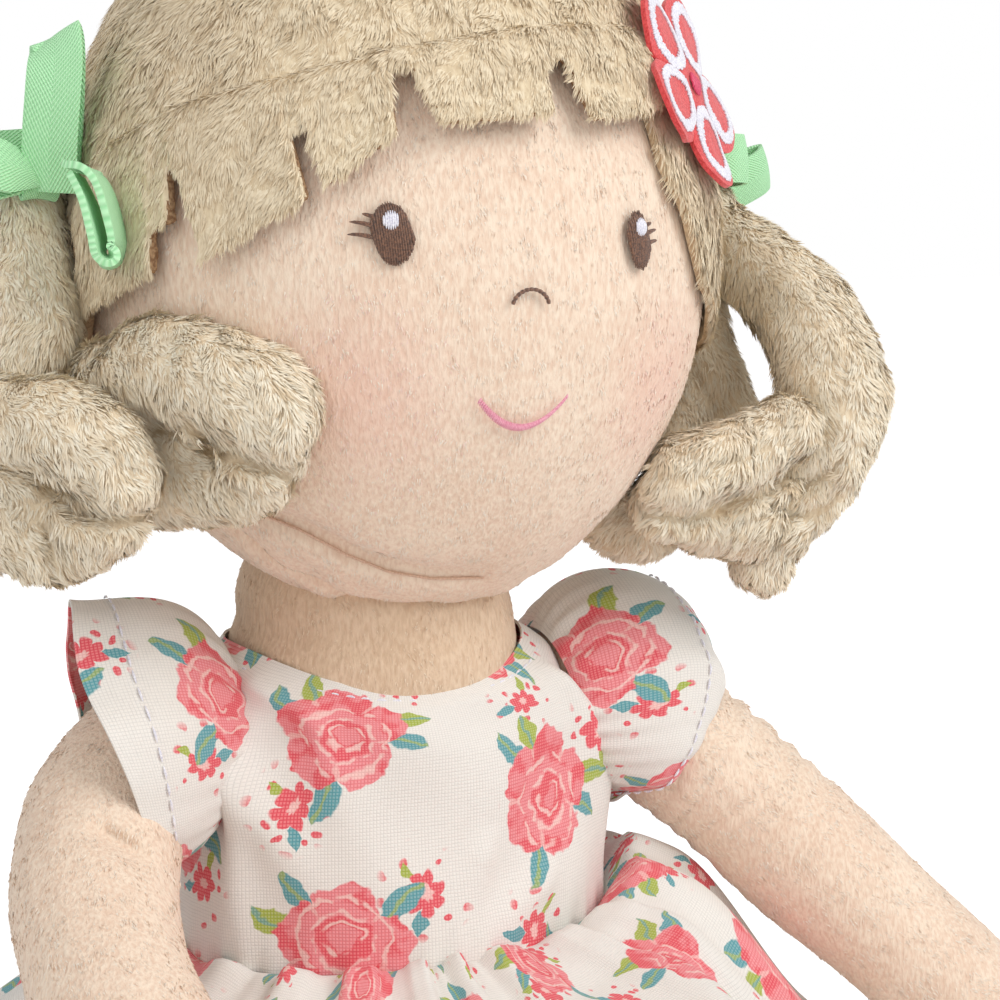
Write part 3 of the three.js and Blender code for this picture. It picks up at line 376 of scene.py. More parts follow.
def join(name, *objects):
    only(objects[0])
    for obj in objects:
        obj.select_set(True)
    if len(objects) > 1:
        bpy.ops.object.join()
    objects[0].name = name
    objects[0].data.name = name
    return objects[0]


def unit(vectors):
    vectors = np.asarray(vectors, float)
    return vectors / np.maximum(np.linalg.norm(vectors, axis=-1, keepdims=True), 1e-9)


def waves(points, size, seed):
    """Smooth random values from about -1 to 1, that change over the given size in millimetres."""
    rng = np.random.default_rng(seed)
    total = np.zeros(len(points))
    for _ in range(7):
        direction = unit(rng.normal(size=3)) * (2 * np.pi / size) * rng.uniform(0.5, 1.2)
        total += np.sin(points @ direction + rng.uniform(0, 2 * np.pi))
    return total / 3.2


def line_distance(points, line, inward):
    """How far points seen along inward are from a line, and their share of its length."""
    flat = points - np.outer(points @ inward, inward)
    line = np.asarray(line, float)
    line = line - np.outer(line @ inward, inward)
    nearest, ends = np.full(len(points), 1e9), np.zeros(len(points))
    for k, (start, end) in enumerate(zip(line[:-1], line[1:])):
        way = end - start
        share = np.clip((flat - start) @ way / (way @ way), 0, 1)
        away = np.linalg.norm(flat - start - share[:, None] * way, axis=1)
        ends = np.where(away < nearest, (k + share) / (len(line) - 1), ends)
        nearest = np.minimum(nearest, away)
    return nearest, ends


def fold(y, width, depth, *places):
    """A crease: its line through places x, z on the plane y, its width and its depth."""
    return [(x, y, z) for x, z in places], width, depth


def crease(obj, folds, inward, sink=0.0):
    """Presses folds into the side that faces against inward."""
    inward = unit(inward)
    for line, width, depth in folds:
        points, out = points_of(obj), normals_of(obj)
        facing = np.clip(-out @ inward * 2, 0, 1)
        nearest, ends = line_distance(points, line, inward)
        press = depth * np.exp(-((nearest / width) ** 2)) * facing
        press *= np.sin(np.pi * (0.1 + 0.8 * ends)) ** 0.7
        set_points(obj, points + unit(inward - sink * out) * press[:, None])


def clear_of(folds, inward, share=0.35):
    """Keeps pile out of creases, so that they show."""
    inward = unit(inward)

    def keep(at, out):
        bare = np.zeros(len(at), bool)
        for line, width, _ in folds:
            bare |= (line_distance(at, line, inward)[0] < share * width) & (out @ inward < 0)
        return ~bare

    return keep


def remeshed(obj, voxel, smooth):
    modify(obj, "REMESH", mode="VOXEL", voxel_size=voxel * MM)
    modify(obj, "SMOOTH", factor=0.5, iterations=smooth)
    bpy.ops.object.shade_smooth()
    return obj


def thickened(obj, thick, offset=-1, sharp=60, **settings):
    """Gives a sheet its thickness, and smooth shading over edges of less than sharp degrees."""
    modify(obj, "SOLIDIFY", thickness=thick * MM, offset=offset, **settings)
    bpy.ops.object.shade_smooth_by_angle(angle=math.radians(sharp))
    return obj


def finished(obj, body, slot, replaced=(), material=None):
    if material is not None:
        obj.data.materials.clear()
        obj.data.materials.append(material)
    if body:
        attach(obj, body)
    if replaced:
        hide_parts(*replaced)
    print(obj.name, "has", len(obj.data.polygons), "faces")
    return obj


# %% [markdown]
# Pile is many thousands of short hairs. Each is a flat kite of two triangles, bent at its widest
# place, so that a dense pile stays light enough. They are scattered evenly over a finished surface,
# combed along the nap, gathered into small locks and ruffled. Soft hair is lit mostly as the surface
# under it is, so that its locks blend. Blender's hair curves would do this too, but they have
# no mesh for the exported model.

# %% One hair, and a pile of them
# A hair's widest place as a share of its length, how far it droops there, and how deep it is rooted.
WIDEST, DROOP, ROOT_DEPTH = 0.45, 0.45, 0.25
DOWN = np.array((0.0, 0.0, -1.0))

deselect()
bpy.ops.mesh.primitive_circle_add(vertices=4, radius=1, fill_type="NGON")
kite = bpy.context.object
corners = points_of(kite) * MM
root, tip = int(corners[:, 1].argmin()), int(corners[:, 1].argmax())
left, right = int(corners[:, 0].argmin()), int(corners[:, 0].argmax())
hair_faces = np.array([(root, right, left), (left, right, tip)])
hair_along = np.interp(corners[:, 1], [-1, 0, 1], [0, WIDEST, 1])
hair_across = corners[:, 0]
bpy.data.objects.remove(kite)


def scatter(obj, count, seed, keep):
    """Even random places on an object, their normals and the source of random values."""
    mesh = obj.data
    mesh.calc_loop_triangles()
    corners = read(mesh.loop_triangles, "vertices", kind=np.int32)
    points, normals = points_of(obj), normals_of(obj)
    a, b, c = (points[corners[:, i]] for i in range(3))
    weight = np.linalg.norm(np.cross(b - a, c - a), axis=1)
    weight = weight * keep((a + b + c) / 3, unit(normals[corners].sum(1)))
    rng = np.random.default_rng(seed)
    chosen = corners[rng.choice(len(corners), count, p=weight / weight.sum())]
    u, v = rng.random((2, count, 1))
    u, v = np.where(u + v > 1, 1 - u, u), np.where(u + v > 1, 1 - v, v)
    shares = (1 - u - v, u, v)
    at = sum(s * points[chosen[:, i]] for i, s in enumerate(shares))
    out = unit(sum(s * normals[chosen[:, i]] for i, s in enumerate(shares)))
    return at, out, rng


def locks(at, size, seed, rng):
    """Groups neighbouring hairs: the middle of each hair's lock, and the lock's own random values."""
    drift = np.stack([waves(at, 3.1 * size, seed + k) for k in (6, 7, 8)], 1)
    cells = np.floor((at + 0.7 * size * drift) / size)
    _, lock, members = np.unique(cells @ (1.0, 1e3, 1e6), return_inverse=True, return_counts=True)
    middle = np.stack([np.bincount(lock, at[:, i]) for i in range(3)], 1) / members[:, None]
    return middle[lock], rng.normal(size=(len(members), 3))[lock]


def shade_of(tone, low, high):
    """The number of a hair's shade: 0 is the palest and commonest, and 1 and 2 are darker."""
    return np.array([1, 0, 2])[np.digitize(tone, [low, high])]


def pile(
    obj, body, slot, shades, *, count, length, width, seed, keep, comb=DOWN, stand=0.4, ruffle=0.4,
    tuft=7.0, lock=2.0, gather=0.3, shade_at=None, soft=True,
):
    """Short hairs on an object, in millimetres. tuft and lock are the sizes of its patches."""
    at, out, rng = scatter(obj, count, seed, keep)
    nap = comb(at, out) if callable(comb) else np.broadcast_to(comb, at.shape)
    along = unit(nap - out * (nap * out).sum(1, keepdims=True))
    across = np.cross(out, along)
    middle, own = locks(at, lock, seed, rng)
    turn = waves(at, tuft, seed + 1) + 0.45 * own[:, 0] + rng.normal(0, 0.25, count)
    rise = 1 + 0.45 * waves(at, 0.7 * tuft, seed + 3) + 0.3 * own[:, 1] + rng.normal(0, 0.2, count)
    turn, rise = (ruffle * turn)[:, None], np.clip(stand * rise, 0.08, 1.6)[:, None]
    direction = along * np.cos(turn) + across * np.sin(turn) + out * rise
    direction = unit(direction + gather * (middle - at) / length)
    bent = unit(direction - DROOP * rise * out)
    sideways = unit(np.cross(direction, out))
    upright = np.cross(sideways, direction)
    roll = rng.normal(0, 0.2 if soft else 0.4, (count, 1))
    sideways = sideways * np.cos(roll) + upright * np.sin(roll)
    reach = length * rng.uniform(0.7, 1.15, (count, 1)) * (1 + 0.15 * waves(at, tuft, seed + 4)[:, None])
    low = np.minimum(hair_along, WIDEST)[None, :, None] * (reach * direction)[:, None]
    high = np.maximum(hair_along - WIDEST, 0)[None, :, None] * (reach * bent)[:, None]
    wide = 0.5 * width * hair_across[None, :, None] * sideways[:, None]
    places = (at - out * ROOT_DEPTH)[:, None] + low + high + wide
    faces = (hair_faces[None] + 4 * np.arange(count)[:, None, None]).reshape(-1, 3)
    tone = 0.45 * waves(at, 0.8 * tuft, seed + 5) + 0.45 * own[:, 2] + rng.normal(0, 0.45, count)
    shade = shade_at(at, tone) if shade_at else shade_of(tone, -0.35, 0.65)
    mesh = bpy.data.meshes.new(obj.name + "_pile")
    mesh.from_pydata((places.reshape(-1, 3) * MM).astype(np.float32), [], faces)
    mesh.polygons.foreach_set("use_smooth", np.ones(len(faces), bool))
    mesh.polygons.foreach_set("material_index", np.repeat(shade, 2).astype(np.int32))
    if soft:
        facing = unit(out + 0.35 * np.cross(sideways, direction))
        mesh.normals_split_custom_set_from_vertices(np.repeat(facing, 4, axis=0))
    for material in shades:
        mesh.materials.append(material)
    fur = bpy.data.objects.new(mesh.name, mesh)
    bpy.context.scene.collection.objects.link(fur)
    return finished(fur, body, slot)


def skin_shade(at, tone):
    """Pinker hairs on the cheeks, and paler and darker ones mixed everywhere."""
    shade = shade_of(tone, -0.3, 0.6)
    for centre, radius in CHEEKS:
        near = 1 - np.linalg.norm(at - np.array(centre), axis=1) / radius
        pink = near + 0.45 * np.sin(97.3 * tone) > 0.55
        shade = np.where(pink, np.where(shade == 2, 4, 3), shade)
    return shade


# %% [markdown]
# The head is a firmly stuffed egg of two panels, sewn together over the crown, behind the ears and
# round the chin. It starts as a sphere, is stretched more below its middle than above, and is then
# tilted to look up. The seam is a shallow groove that pulls the plush in, with small puckers.

# %% Head
HEAD_PLACE = np.array((0.0, -6.0, 190.0))
HEAD_TILT = math.radians(9.1)
HEAD_HALF = np.array((64.0, 57.0, 72.5))
HEAD_BELOW = 76.0
CLEAR = 0.3
COSINE, SINE = math.cos(HEAD_TILT), math.sin(HEAD_TILT)
TURN = np.array(((1, 0, 0), (0, COSINE, SINE), (0, -SINE, COSINE)))
SEAM_Y, SEAM_DEPTH = -6.0, 2.2
CHIN_LOOK = (0.395, 0.903, -0.165)
CHIN_SEAM = [fold(-42, 2.0, 4.4, (-46.5, 141.8), (-35.8, 136.7), (-26.7, 131.4), (-18.4, 127.7),
                  (-9.1, 125.6), (2.1, 125.0))]


def to_world(points):
    return np.asarray(points, float) @ TURN.T + HEAD_PLACE


def to_head(points):
    return (np.asarray(points, float) - HEAD_PLACE) @ TURN


def degrees_round(points):
    """How far round from the face points lie, in the head's own frame."""
    return np.degrees(np.arctan2(points[:, 0], -points[:, 1]))


def head_size(grow, z):
    high = np.where(z > 0, HEAD_HALF[2], HEAD_BELOW)
    return np.stack([0 * z + HEAD_HALF[0], 0 * z + HEAD_HALF[1], high], -1) + grow


def on_head(turn, rise, grow=0.0):
    """Places in the head's own frame: degrees from the face, height as a share, and how far out."""
    turn, rise = np.radians(turn), np.asarray(rise, float)
    half = head_size(grow, rise)
    flat = np.sqrt(np.maximum(1 - rise**2, 0))
    return np.stack([flat * np.sin(turn), -flat * np.cos(turn), rise + 0 * turn], -1) * half


def face_place(x, z, lift=0.0):
    """The world place of a point on the face, given in the head's own frame, and how far off it."""
    x, z = np.broadcast_arrays(np.asarray(x, float), np.asarray(z, float))
    half = head_size(0.0, z)
    y = -half[..., 1] * np.sqrt(np.maximum(1 - (x / half[..., 0]) ** 2 - (z / half[..., 2]) ** 2, 0))
    on = np.stack([x, y, z], -1)
    return to_world(on + unit(on / half**2) * np.asarray(lift)[..., None])


head = new_sphere(240, 180)
head.name = "head_plush"
sphere = points_of(head) * MM
egg = sphere * head_size(0.0, sphere[:, 2])
apart = (egg[:, 1] - SEAM_Y) ** 2
seam = np.exp(-apart / 3.2) * (1 + 0.35 * waves(egg, 7, 4))
pucker = np.exp(-apart / 60) * waves(egg, 9, 5) * 0.55
lumps = 0.35 * waves(egg, 46, 6) + 0.12 * waves(egg, 15, 7)
below = np.clip((egg[:, 2] + 20) / -40, 0, 1)
egg = egg + unit(sphere) * ((pucker - SEAM_DEPTH * seam) * below + lumps)[:, None]
set_points(head, to_world(egg))
crease(head, CHIN_SEAM, CHIN_LOOK, sink=1.2)
bpy.ops.object.shade_smooth()
finished(head, "head", "plush_skin", ["face_panel", "head_back_panel", "head_stuffing"], skin_backing)

FRINGE_TOP = np.array(
    [[-180, -0.6], [-135, -0.5], [-100, -0.3], [-90, -0.2], [-85, 0.12], [-61, 0.23], [-39, 0.27],
     [-22, 0.31], [6, 0.38], [25, 0.4], [30, 0.06], [40, -0.14], [46, -0.22], [70, -0.34],
     [100, -0.4], [135, -0.5], [180, -0.6]]
)


def cap_edge(turn):
    """The height share of the hair cap's lower edge, at degrees from the face."""
    return np.interp((np.asarray(turn) + 180) % 360 - 180, FRINGE_TOP[:, 0], FRINGE_TOP[:, 1])


def bare_head(at, out):
    inside = to_head(at)
    rise = inside[:, 2] / head_size(0, inside[:, 2])[:, 2]
    neck = np.hypot(at[:, 0], at[:, 1]) < 24
    seam = (np.abs(inside[:, 1] - SEAM_Y) < 0.7) & (inside[:, 2] < -25)
    covered = (rise > cap_edge(degrees_round(inside)) + 0.02) | (neck & (at[:, 2] < 130)) | seam
    return ~covered & clear_of(CHIN_SEAM, CHIN_LOOK, 0.55)(at, out)


pile(head, "head", "plush_skin", skin_pile, count=90000, length=1.35, width=0.28, seed=11, stand=0.28,
     ruffle=0.32, tuft=6.0, lock=1.3, gather=0.25, keep=bare_head, shade_at=skin_shade, soft=False)

# %% [markdown]
# The neck is a short tube of the same plush, sewn flat to the body and running up under the chin.
# Its plush and hairs are painted darker than the face's: painted shade under the head.
# It bends between the body's neck and the head, and is attached to neither.

# %% Neck
NECK_PLACE = np.array((-2.2, 1.5, 0.0))
NECK_FOOT, NECK_LENGTH, NECK_CREASE = 97, 29, 113

deselect()
bpy.ops.mesh.primitive_cylinder_add(vertices=96, radius=1, depth=1, location=(0, 0, 0.5))
neck = bpy.context.object
neck.name = "neck_plush"
apply_place(neck)
mode("EDIT")
bpy.ops.mesh.select_all(action="SELECT")
bpy.ops.mesh.subdivide(number_cuts=5)
mode("OBJECT")
tube = points_of(neck) * MM
height = NECK_FOOT + NECK_LENGTH * tube[:, 2]
radius = np.interp(height, [97, 101, 104, 112, 119, 126], [29.6, 30.6, 30.8, 29.8, 28.6, 25.5])
line = NECK_CREASE + 1.5 * tube[:, 0] - 0.8 * np.sin(7 * tube[:, 0])
radius = radius - 0.7 - 1.3 * np.exp(-((height - line) ** 2) / 2.5)
set_points(neck, np.stack([tube[:, 0] * radius, tube[:, 1] * radius, height], 1) + NECK_PLACE)
remeshed(neck, 1.3, 5)
finished(neck, None, "plush_skin", ["neck_skin", "neck_stuffing"], neck_backing_painted_shade)
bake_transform(neck)
neck_fur = pile(neck, None, "plush_skin", neck_pile, count=15000, length=1.3, width=0.27, seed=21,
                stand=0.3, ruffle=0.5, lock=1.2, keep=lambda at, out: np.abs(out[:, 2]) < 0.6, soft=False)
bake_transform(neck_fur)

# %% [markdown]
# The body under the dress is a stuffed bag with a flat seat and a bag of pellets in it. It isn't
# seen, but it is there: the frame's own filling is copied, rebuilt from small cells so that its
# facets go, and swelled to the skin.

# %% Body and pellet bag
def soft_copy(name, nodes, voxel, grow, smooth=10):
    copies = []
    for node in nodes:
        copy = bpy.data.objects.new(name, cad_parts[node].data.copy())
        bpy.context.scene.collection.objects.link(copy)
        copies.append(copy)
    whole = join(name, *copies)
    modify(whole, "WELD", merge_threshold=0.00002)
    remeshed(whole, voxel, smooth)
    set_points(whole, points_of(whole) + normals_of(whole) * grow)
    return whole


body = soft_copy("body_plush", ["torso_stuffing", "pellet_pouch"], 2.2, 0.9)
finished(body, "torso", "plush_skin", ["torso_skin", "torso_stuffing"], skin_backing)
pouch = soft_copy("pellet_bag", ["pellet_pouch"], 2.2, -1.5)
finished(pouch, "torso", "pellets", ["pellet_pouch"], plain("pellet_cotton", (222, 218, 210)))

# %% [markdown]
# Limbs and curls are all stuffed tubes on a bent route. A smooth curve with a radius at each point
# is the natural start: turned into a mesh, closed with a ball at each end, and rebuilt as one skin.

# %% Stuffed tubes
def new_curve(radius, resolution):
    """A round curve object, selected alone, and the data that its runs go into."""
    deselect()
    bpy.ops.curve.primitive_bezier_curve_add()
    data = bpy.context.object.data
    data.dimensions = "3D"
    data.bevel_depth = radius * MM
    data.bevel_resolution = resolution
    data.use_fill_caps = True
    return data


def stuffed(name, routes, voxel, smooth):
    """One soft form from several tubes. Each route is a list of points and the radius at each."""
    parts = []
    for points, radii in routes:
        spline = new_curve(1.0, 6).splines[0]
        spline.bezier_points.add(len(points) - 2)
        for knot, point, radius in zip(spline.bezier_points, points, radii):
            knot.co = Vector(point) * MM
            knot.radius = radius
            knot.handle_left_type = knot.handle_right_type = "AUTO"
        bpy.ops.object.convert(target="MESH")
        parts.append(bpy.context.object)
        for end in (0, -1):
            deselect()
            bpy.ops.mesh.primitive_ico_sphere_add(
                subdivisions=4, radius=radii[end] * 0.995 * MM, location=Vector(points[end]) * MM
            )
            apply_place(bpy.context.object)
            parts.append(bpy.context.object)
    return remeshed(join(name, *parts), voxel, smooth)


# %% [markdown]
# The arms are sewn in at the shoulder, hang outward and bend forward. Their plush is loose near the
# sleeve, where it folds across the arm: in a few shallow wrinkles on its left, in one fold on its
# right.

# %% Arms
SIDE = {"right": -1, "left": 1}
SHOULDER = {name: np.array((side * 45.03, 0, 90.0)) for name, side in SIDE.items()}
# The way of each arm from the shoulder, as shares of ARM_REACH.
ARM_ROUTE = {
    "left": [[0, 0, 0], [0.23, 0.07, 0.15], [0.52, 0.23, 0.49], [0.85, 0.4, 0.9], [0.96, 0.46, 1.02]],
    "right": [[0, 0, 0], [0.15, 0.07, 0.09], [0.28, 0.23, 0.26], [0.33, 0.42, 0.42],
              [0.31, 0.71, 0.66], [0.28, 0.99, 0.86]],
}
ARM_SHARES = [1, 1.02, 1.04, 1, 0.94, 0.9]
ARM_RADIUS, ARM_SEWN_RADIUS = 15.5, 15.2
ARM_REACH = np.array((86, -88, -72))
ARM_FOLD = fold(-34, 1.8, 4.0, (-73.3, 82.7), (-68.8, 79.9), (-64.3, 76.4))


def wrinkles(obj, centre, direction, spacing, depth, reach, seed):
    """Presses soft folds across a direction, strongest at the centre."""
    points = points_of(obj)
    direction = unit(direction)
    along = (points - centre) @ direction + 2.0 * waves(points, 24, seed)
    fade = np.exp(-(np.linalg.norm(points - centre, axis=1) / reach) ** 2)
    wave = (0.5 + 0.5 * np.cos(2 * np.pi * along / spacing)) ** 2
    set_points(obj, points - normals_of(obj) * (depth * fade * wave)[:, None])


def along_route(points):
    """A comb for pile that follows a route: the nearest stretch's direction."""
    points = np.asarray(points, float)
    middles, ways = (points[1:] + points[:-1]) / 2, unit(points[1:] - points[:-1])

    def comb(at, out):
        near = np.exp(-np.linalg.norm(at[:, None] - middles[None], axis=2) / 8)
        return unit(near @ ways)

    return comb


for name, side in SIDE.items():
    shares = np.array(ARM_ROUTE[name])
    route = SHOULDER[name] + shares * ARM_REACH * (side, 1, 1)
    radii = ARM_RADIUS * np.interp(np.linspace(0, 1, len(route)), np.linspace(0, 1, 6), ARM_SHARES)
    radii[0] = ARM_SEWN_RADIUS
    arm = stuffed(f"arm_{name}", [(route, radii)], 1.3, 5)
    set_points(arm, points_of(arm) + normals_of(arm) * (0.5 * waves(points_of(arm), 30, 31))[:, None])
    if name == "left":
        centre = route[1] + (11, -8, -4)
        wrinkles(arm, centre, route[2] - route[1], spacing=6.5, depth=1.3, reach=22, seed=32)
    else:
        crease(arm, [ARM_FOLD], (0.3, 0.94, -0.17))
    finished(arm, f"{name}_arm", "plush_skin", [f"arm_skin_{name}", f"arm_stuffing_{name}"], skin_backing)
    outside = lambda at, out, s=side: s * at[:, 0] > 47
    pile(arm, f"{name}_arm", "plush_skin", skin_pile, count=39000, length=1.5, width=0.3, seed=34,
         comb=along_route(route), stand=0.3, tuft=6.0, lock=1.3, gather=0.2, keep=outside,
         shade_at=skin_shade, soft=False)

# %% [markdown]
# The legs are plain tubes with rounded upright feet. They lie straight ahead under the skirt.

# %% Legs
HIP_X, HIP_Y = 23.5, -28
LEG_RADIUS, LEG_LENGTH, LEG_SPREAD = 19.3, 122, 0.06
FOOT_SIZE, FOOT_HEIGHT = (13.5, 12, 25.5), 25.0

for name, side in SIDE.items():
    steps = np.linspace(0, 1, 5)
    radii = LEG_RADIUS * np.array([1, 0.97, 0.92, 0.85, 0.78])
    sideways = side * (HIP_X + LEG_SPREAD * LEG_LENGTH * steps)
    route = np.stack([sideways, HIP_Y - LEG_LENGTH * steps, radii - 0.5], 1)
    leg = stuffed(f"leg_{name}", [(route, radii)], 1.6, 4)
    foot = new_sphere(48, 32)
    ankle = route[-1]
    set_points(foot, points_of(foot) * MM * FOOT_SIZE + (ankle[0], ankle[1] - 6, FOOT_HEIGHT))
    leg = remeshed(join(f"leg_{name}", leg, foot), 1.6, 8)
    flat = points_of(leg)
    flat[:, 2] = np.maximum(flat[:, 2], 0.05)
    set_points(leg, flat)
    finished(leg, f"{name}_leg", "plush_skin", [f"leg_skin_{name}", f"leg_stuffing_{name}"], skin_backing)
    pile(leg, f"{name}_leg", "plush_skin", skin_pile, count=17000, length=1.4, width=0.36, seed=41,
         comb=np.array((0, -1.0, -0.1)), stand=0.3, tuft=6.0, keep=lambda at, out: at[:, 2] > 1.4,
         shade_at=skin_shade, soft=False)

# %% [markdown]
# The hair cap is one panel of longer plush over the crown and the back of the head, with a raw cut
# edge. A sphere's rows are drawn up to that edge, one layer is given its thickness, and the cut rim
# shows the pale backing.

# %% Hair cap
def raw_edge(name, light, dark):
    finish = Finish(name, 1.0)
    fine = finish.noise(finish.place(), 0.8, 3.0)
    return finish.done(finish.mottled(fine, 0.35, 0.65, dark, light), fine, 0.4)


CAP_ROWS, CAP_THICK = 80, 1.9
# The fringe's edge finish is the frayed brown backing, darkened in part as painted shade in the slits and
# under the tabs.
fringe_edge_and_slit_shade = raw_edge("hair_raw_edge_and_slit_shade", (186, 152, 116), (136, 102, 74))
cap_rim = raw_edge("hair_cap_edge", (222, 197, 162), (196, 168, 134))

cap = new_sphere(180, CAP_ROWS)
cap.name = "hair_cap_plush"
delete_points(cap, points_of(cap)[:, 2] * MM < -0.9999)
sphere = points_of(cap) * MM
turn = degrees_round(sphere)
down = np.arccos(np.clip(sphere[:, 2], -1, 1)) / math.radians(180 * (CAP_ROWS - 1) / CAP_ROWS)
rise = np.cos(down * np.arccos(cap_edge(turn)))
shell = on_head(turn, rise, CLEAR + 0.4)
edge_lift = 0.5 * waves(shell, 12, 51) * np.clip((down - 0.9) / 0.1, 0, 1)
lumps = 0.5 * waves(shell, 38, 52) + 0.25 * waves(shell, 14, 53)
shell = shell + unit(shell) * (lumps + np.maximum(edge_lift, 0))[:, None]
set_points(cap, to_world(shell))
cap.data.materials.append(hair_backing)
cap.data.materials.append(cap_rim)
thickened(cap, CAP_THICK, offset=1, material_offset_rim=1)
finished(cap, "head", "hair_plush", ["hair_cap"])


def outer_face(at, out, least=0.55):
    """Only the furry side of a plush panel on the head."""
    away = unit(to_head(at) / HEAD_HALF**2) @ TURN.T
    return (away * out).sum(1) > least


def cap_nap(at, out):
    inside = to_head(at)
    return np.stack([-0.28 - 0.004 * inside[:, 0], 0.1 + 0 * inside[:, 0], -1 + 0 * inside[:, 0]], 1)


for half, sign, count, seed in (("front", -1, 91000, 61), ("back", 1, 54000, 62)):
    near = lambda at, out, s=sign: outer_face(at, out) & (s * (at[:, 1] - HEAD_PLACE[1]) > 0)
    fur = pile(cap, "head", "hair_plush", hair_pile, count=count, length=3.0, width=0.33, seed=seed,
               comb=cap_nap, stand=0.32, tuft=9.0, gather=0.35, keep=near)
    fur.name = fur.data.name = f"hair_cap_pile_{half}"

# %% [markdown]
# The fringe is a strip of the same plush, cut into five tabs. It is sewn on at its top, so the tips
# stand a little off the forehead. Its cut edges, slit sides and underside are brown. This is the frayed
# backing, darkened in part as painted shade in the slits and under the tabs. Each tab is a grid laid
# over the forehead, thickened, and all are rebuilt as one strip.

# %% Fringe
# Each tab, from ear to ear: its top's two ends and its tip's in degrees round from the face, the
# heights of the tip's two ends as shares, and how far the tip stands off.
TABS = [
    [-83, -62, -89, -63.5, -0.2, -0.13, 0.6],
    [-60.3, -39.6, -53, -34.6, -0.12, -0.01, 1.6],
    [-37.4, -21.6, -32.3, -20.6, 0.01, 0.12, 1.8],
    [-19.4, 5.0, -14, 4.6, 0.14, 0.16, 1.6],
    [6.8, 31, 12, 30, 0.15, 0.2, 1.4],
]
SLIT_TOPS = [-0.03, 0.15, 0.29, 0.305]
SEWN_TO, FRINGE_THICK = 25, 2.3


def grid(name, columns, rows, place, width=None, length=None, loop=False):
    """A grid whose corners u, v from 0 to 1 are sent to places, with its cloth size as its UV map."""
    deselect()
    bpy.ops.mesh.primitive_grid_add(x_subdivisions=columns, y_subdivisions=rows, size=1, calc_uvs=True)
    obj = bpy.context.object
    obj.name = obj.data.name = name
    flat = points_of(obj) * MM + 0.5
    set_points(obj, place(flat[:, 0], flat[:, 1]))
    if width:
        corners = obj.data.uv_layers[0].data
        corners.foreach_set("uv", (read(corners, "uv", 2) * (width / 100, length / 100)).ravel())
    mode("EDIT")
    bpy.ops.mesh.select_all(action="SELECT")
    if loop:
        bpy.ops.mesh.remove_doubles(threshold=0.00002)
    bpy.ops.mesh.normals_make_consistent(inside=False)
    mode("OBJECT")
    return obj


def near_top(at):
    """Whether points of the fringe lie along its sewn upper edge."""
    inside = to_head(at)
    edge = cap_edge(np.minimum(degrees_round(inside), SEWN_TO))
    return inside[:, 2] / HEAD_HALF[2] > edge - 0.02


def fringe_part(top, tip, tips, bottom_lift, swell=1.6):
    def place(u, v):
        start, end, low = (a + (b - a) * u for a, b in (top, tip, tips))
        turn = start + (end - start) * v
        high = cap_edge(np.minimum(start, SEWN_TO)) + 0.012
        rise = high + (low - high) * v
        lift = CLEAR + 0.6 + bottom_lift * v**2 + 0.9 * np.sin(np.pi * np.clip(v * swell, 0, 1))
        lift = lift + 0.7 * v * (2 * u - 1) ** 2
        return to_world(on_head(turn, rise, 0.0) + unit(on_head(turn, rise)) * lift[:, None])

    part = grid("tab", 26, 16, place)
    modify(part, "SOLIDIFY", thickness=FRINGE_THICK * MM, offset=1)
    return part


parts = [fringe_part(t[:2], t[2:4], t[4:6], t[6]) for t in TABS]
for left, right, low in zip(TABS[:-1], TABS[1:], SLIT_TOPS):
    turns = (left[1] - 2, right[0] + 2)
    parts.append(fringe_part(turns, turns, (low, low), 0.0, 0.6))
fringe = remeshed(join("fringe_plush", *parts), 0.55, 3)
fringe.data.materials.append(hair_backing)
fringe.data.materials.append(fringe_edge_and_slit_shade)
for face in fringe.data.polygons:
    middle = np.array(face.center) / MM
    inside = unit(to_head(middle) / HEAD_HALF**2) @ TURN.T
    sewn = near_top(middle[None])[0]
    # Faces that don't face out, apart from the sewn top, take the brown edge finish, which is partly painted
    # shade.
    face.material_index = 0 if sewn or inside @ np.array(face.normal) > 0.62 else 1
finished(fringe, "head", "hair_plush", ["fringe"])


def furry(at, out):
    return outer_face(at, out, 0.72) | near_top(at) & outer_face(at, out, 0.1)


pile(fringe, "head", "hair_plush", hair_pile, count=40000, length=2.6, width=0.31, seed=71, comb=cap_nap,
     stand=0.28, ruffle=0.35, tuft=8.0, gather=0.35, keep=furry)

# %% [markdown]
# Each bunch is a bundle of stuffed plush curls. A curl is a strip folded on itself, so it is made of
# two or three runs side by side, and the creases that the photograph shows are pressed in between
# them. Their pile stands up more than elsewhere and is ruffled. Their backing and hairs are the cap's
# plush, painted paler: painted light on the curls.

# %% Hair bunches
BUNCH_ROOT = {name: np.array((side * 76.5, 5, 7)) for name, side in SIDE.items()}
STRAND_RADIUS, PILE_DEPTH = 9.5, 1.0
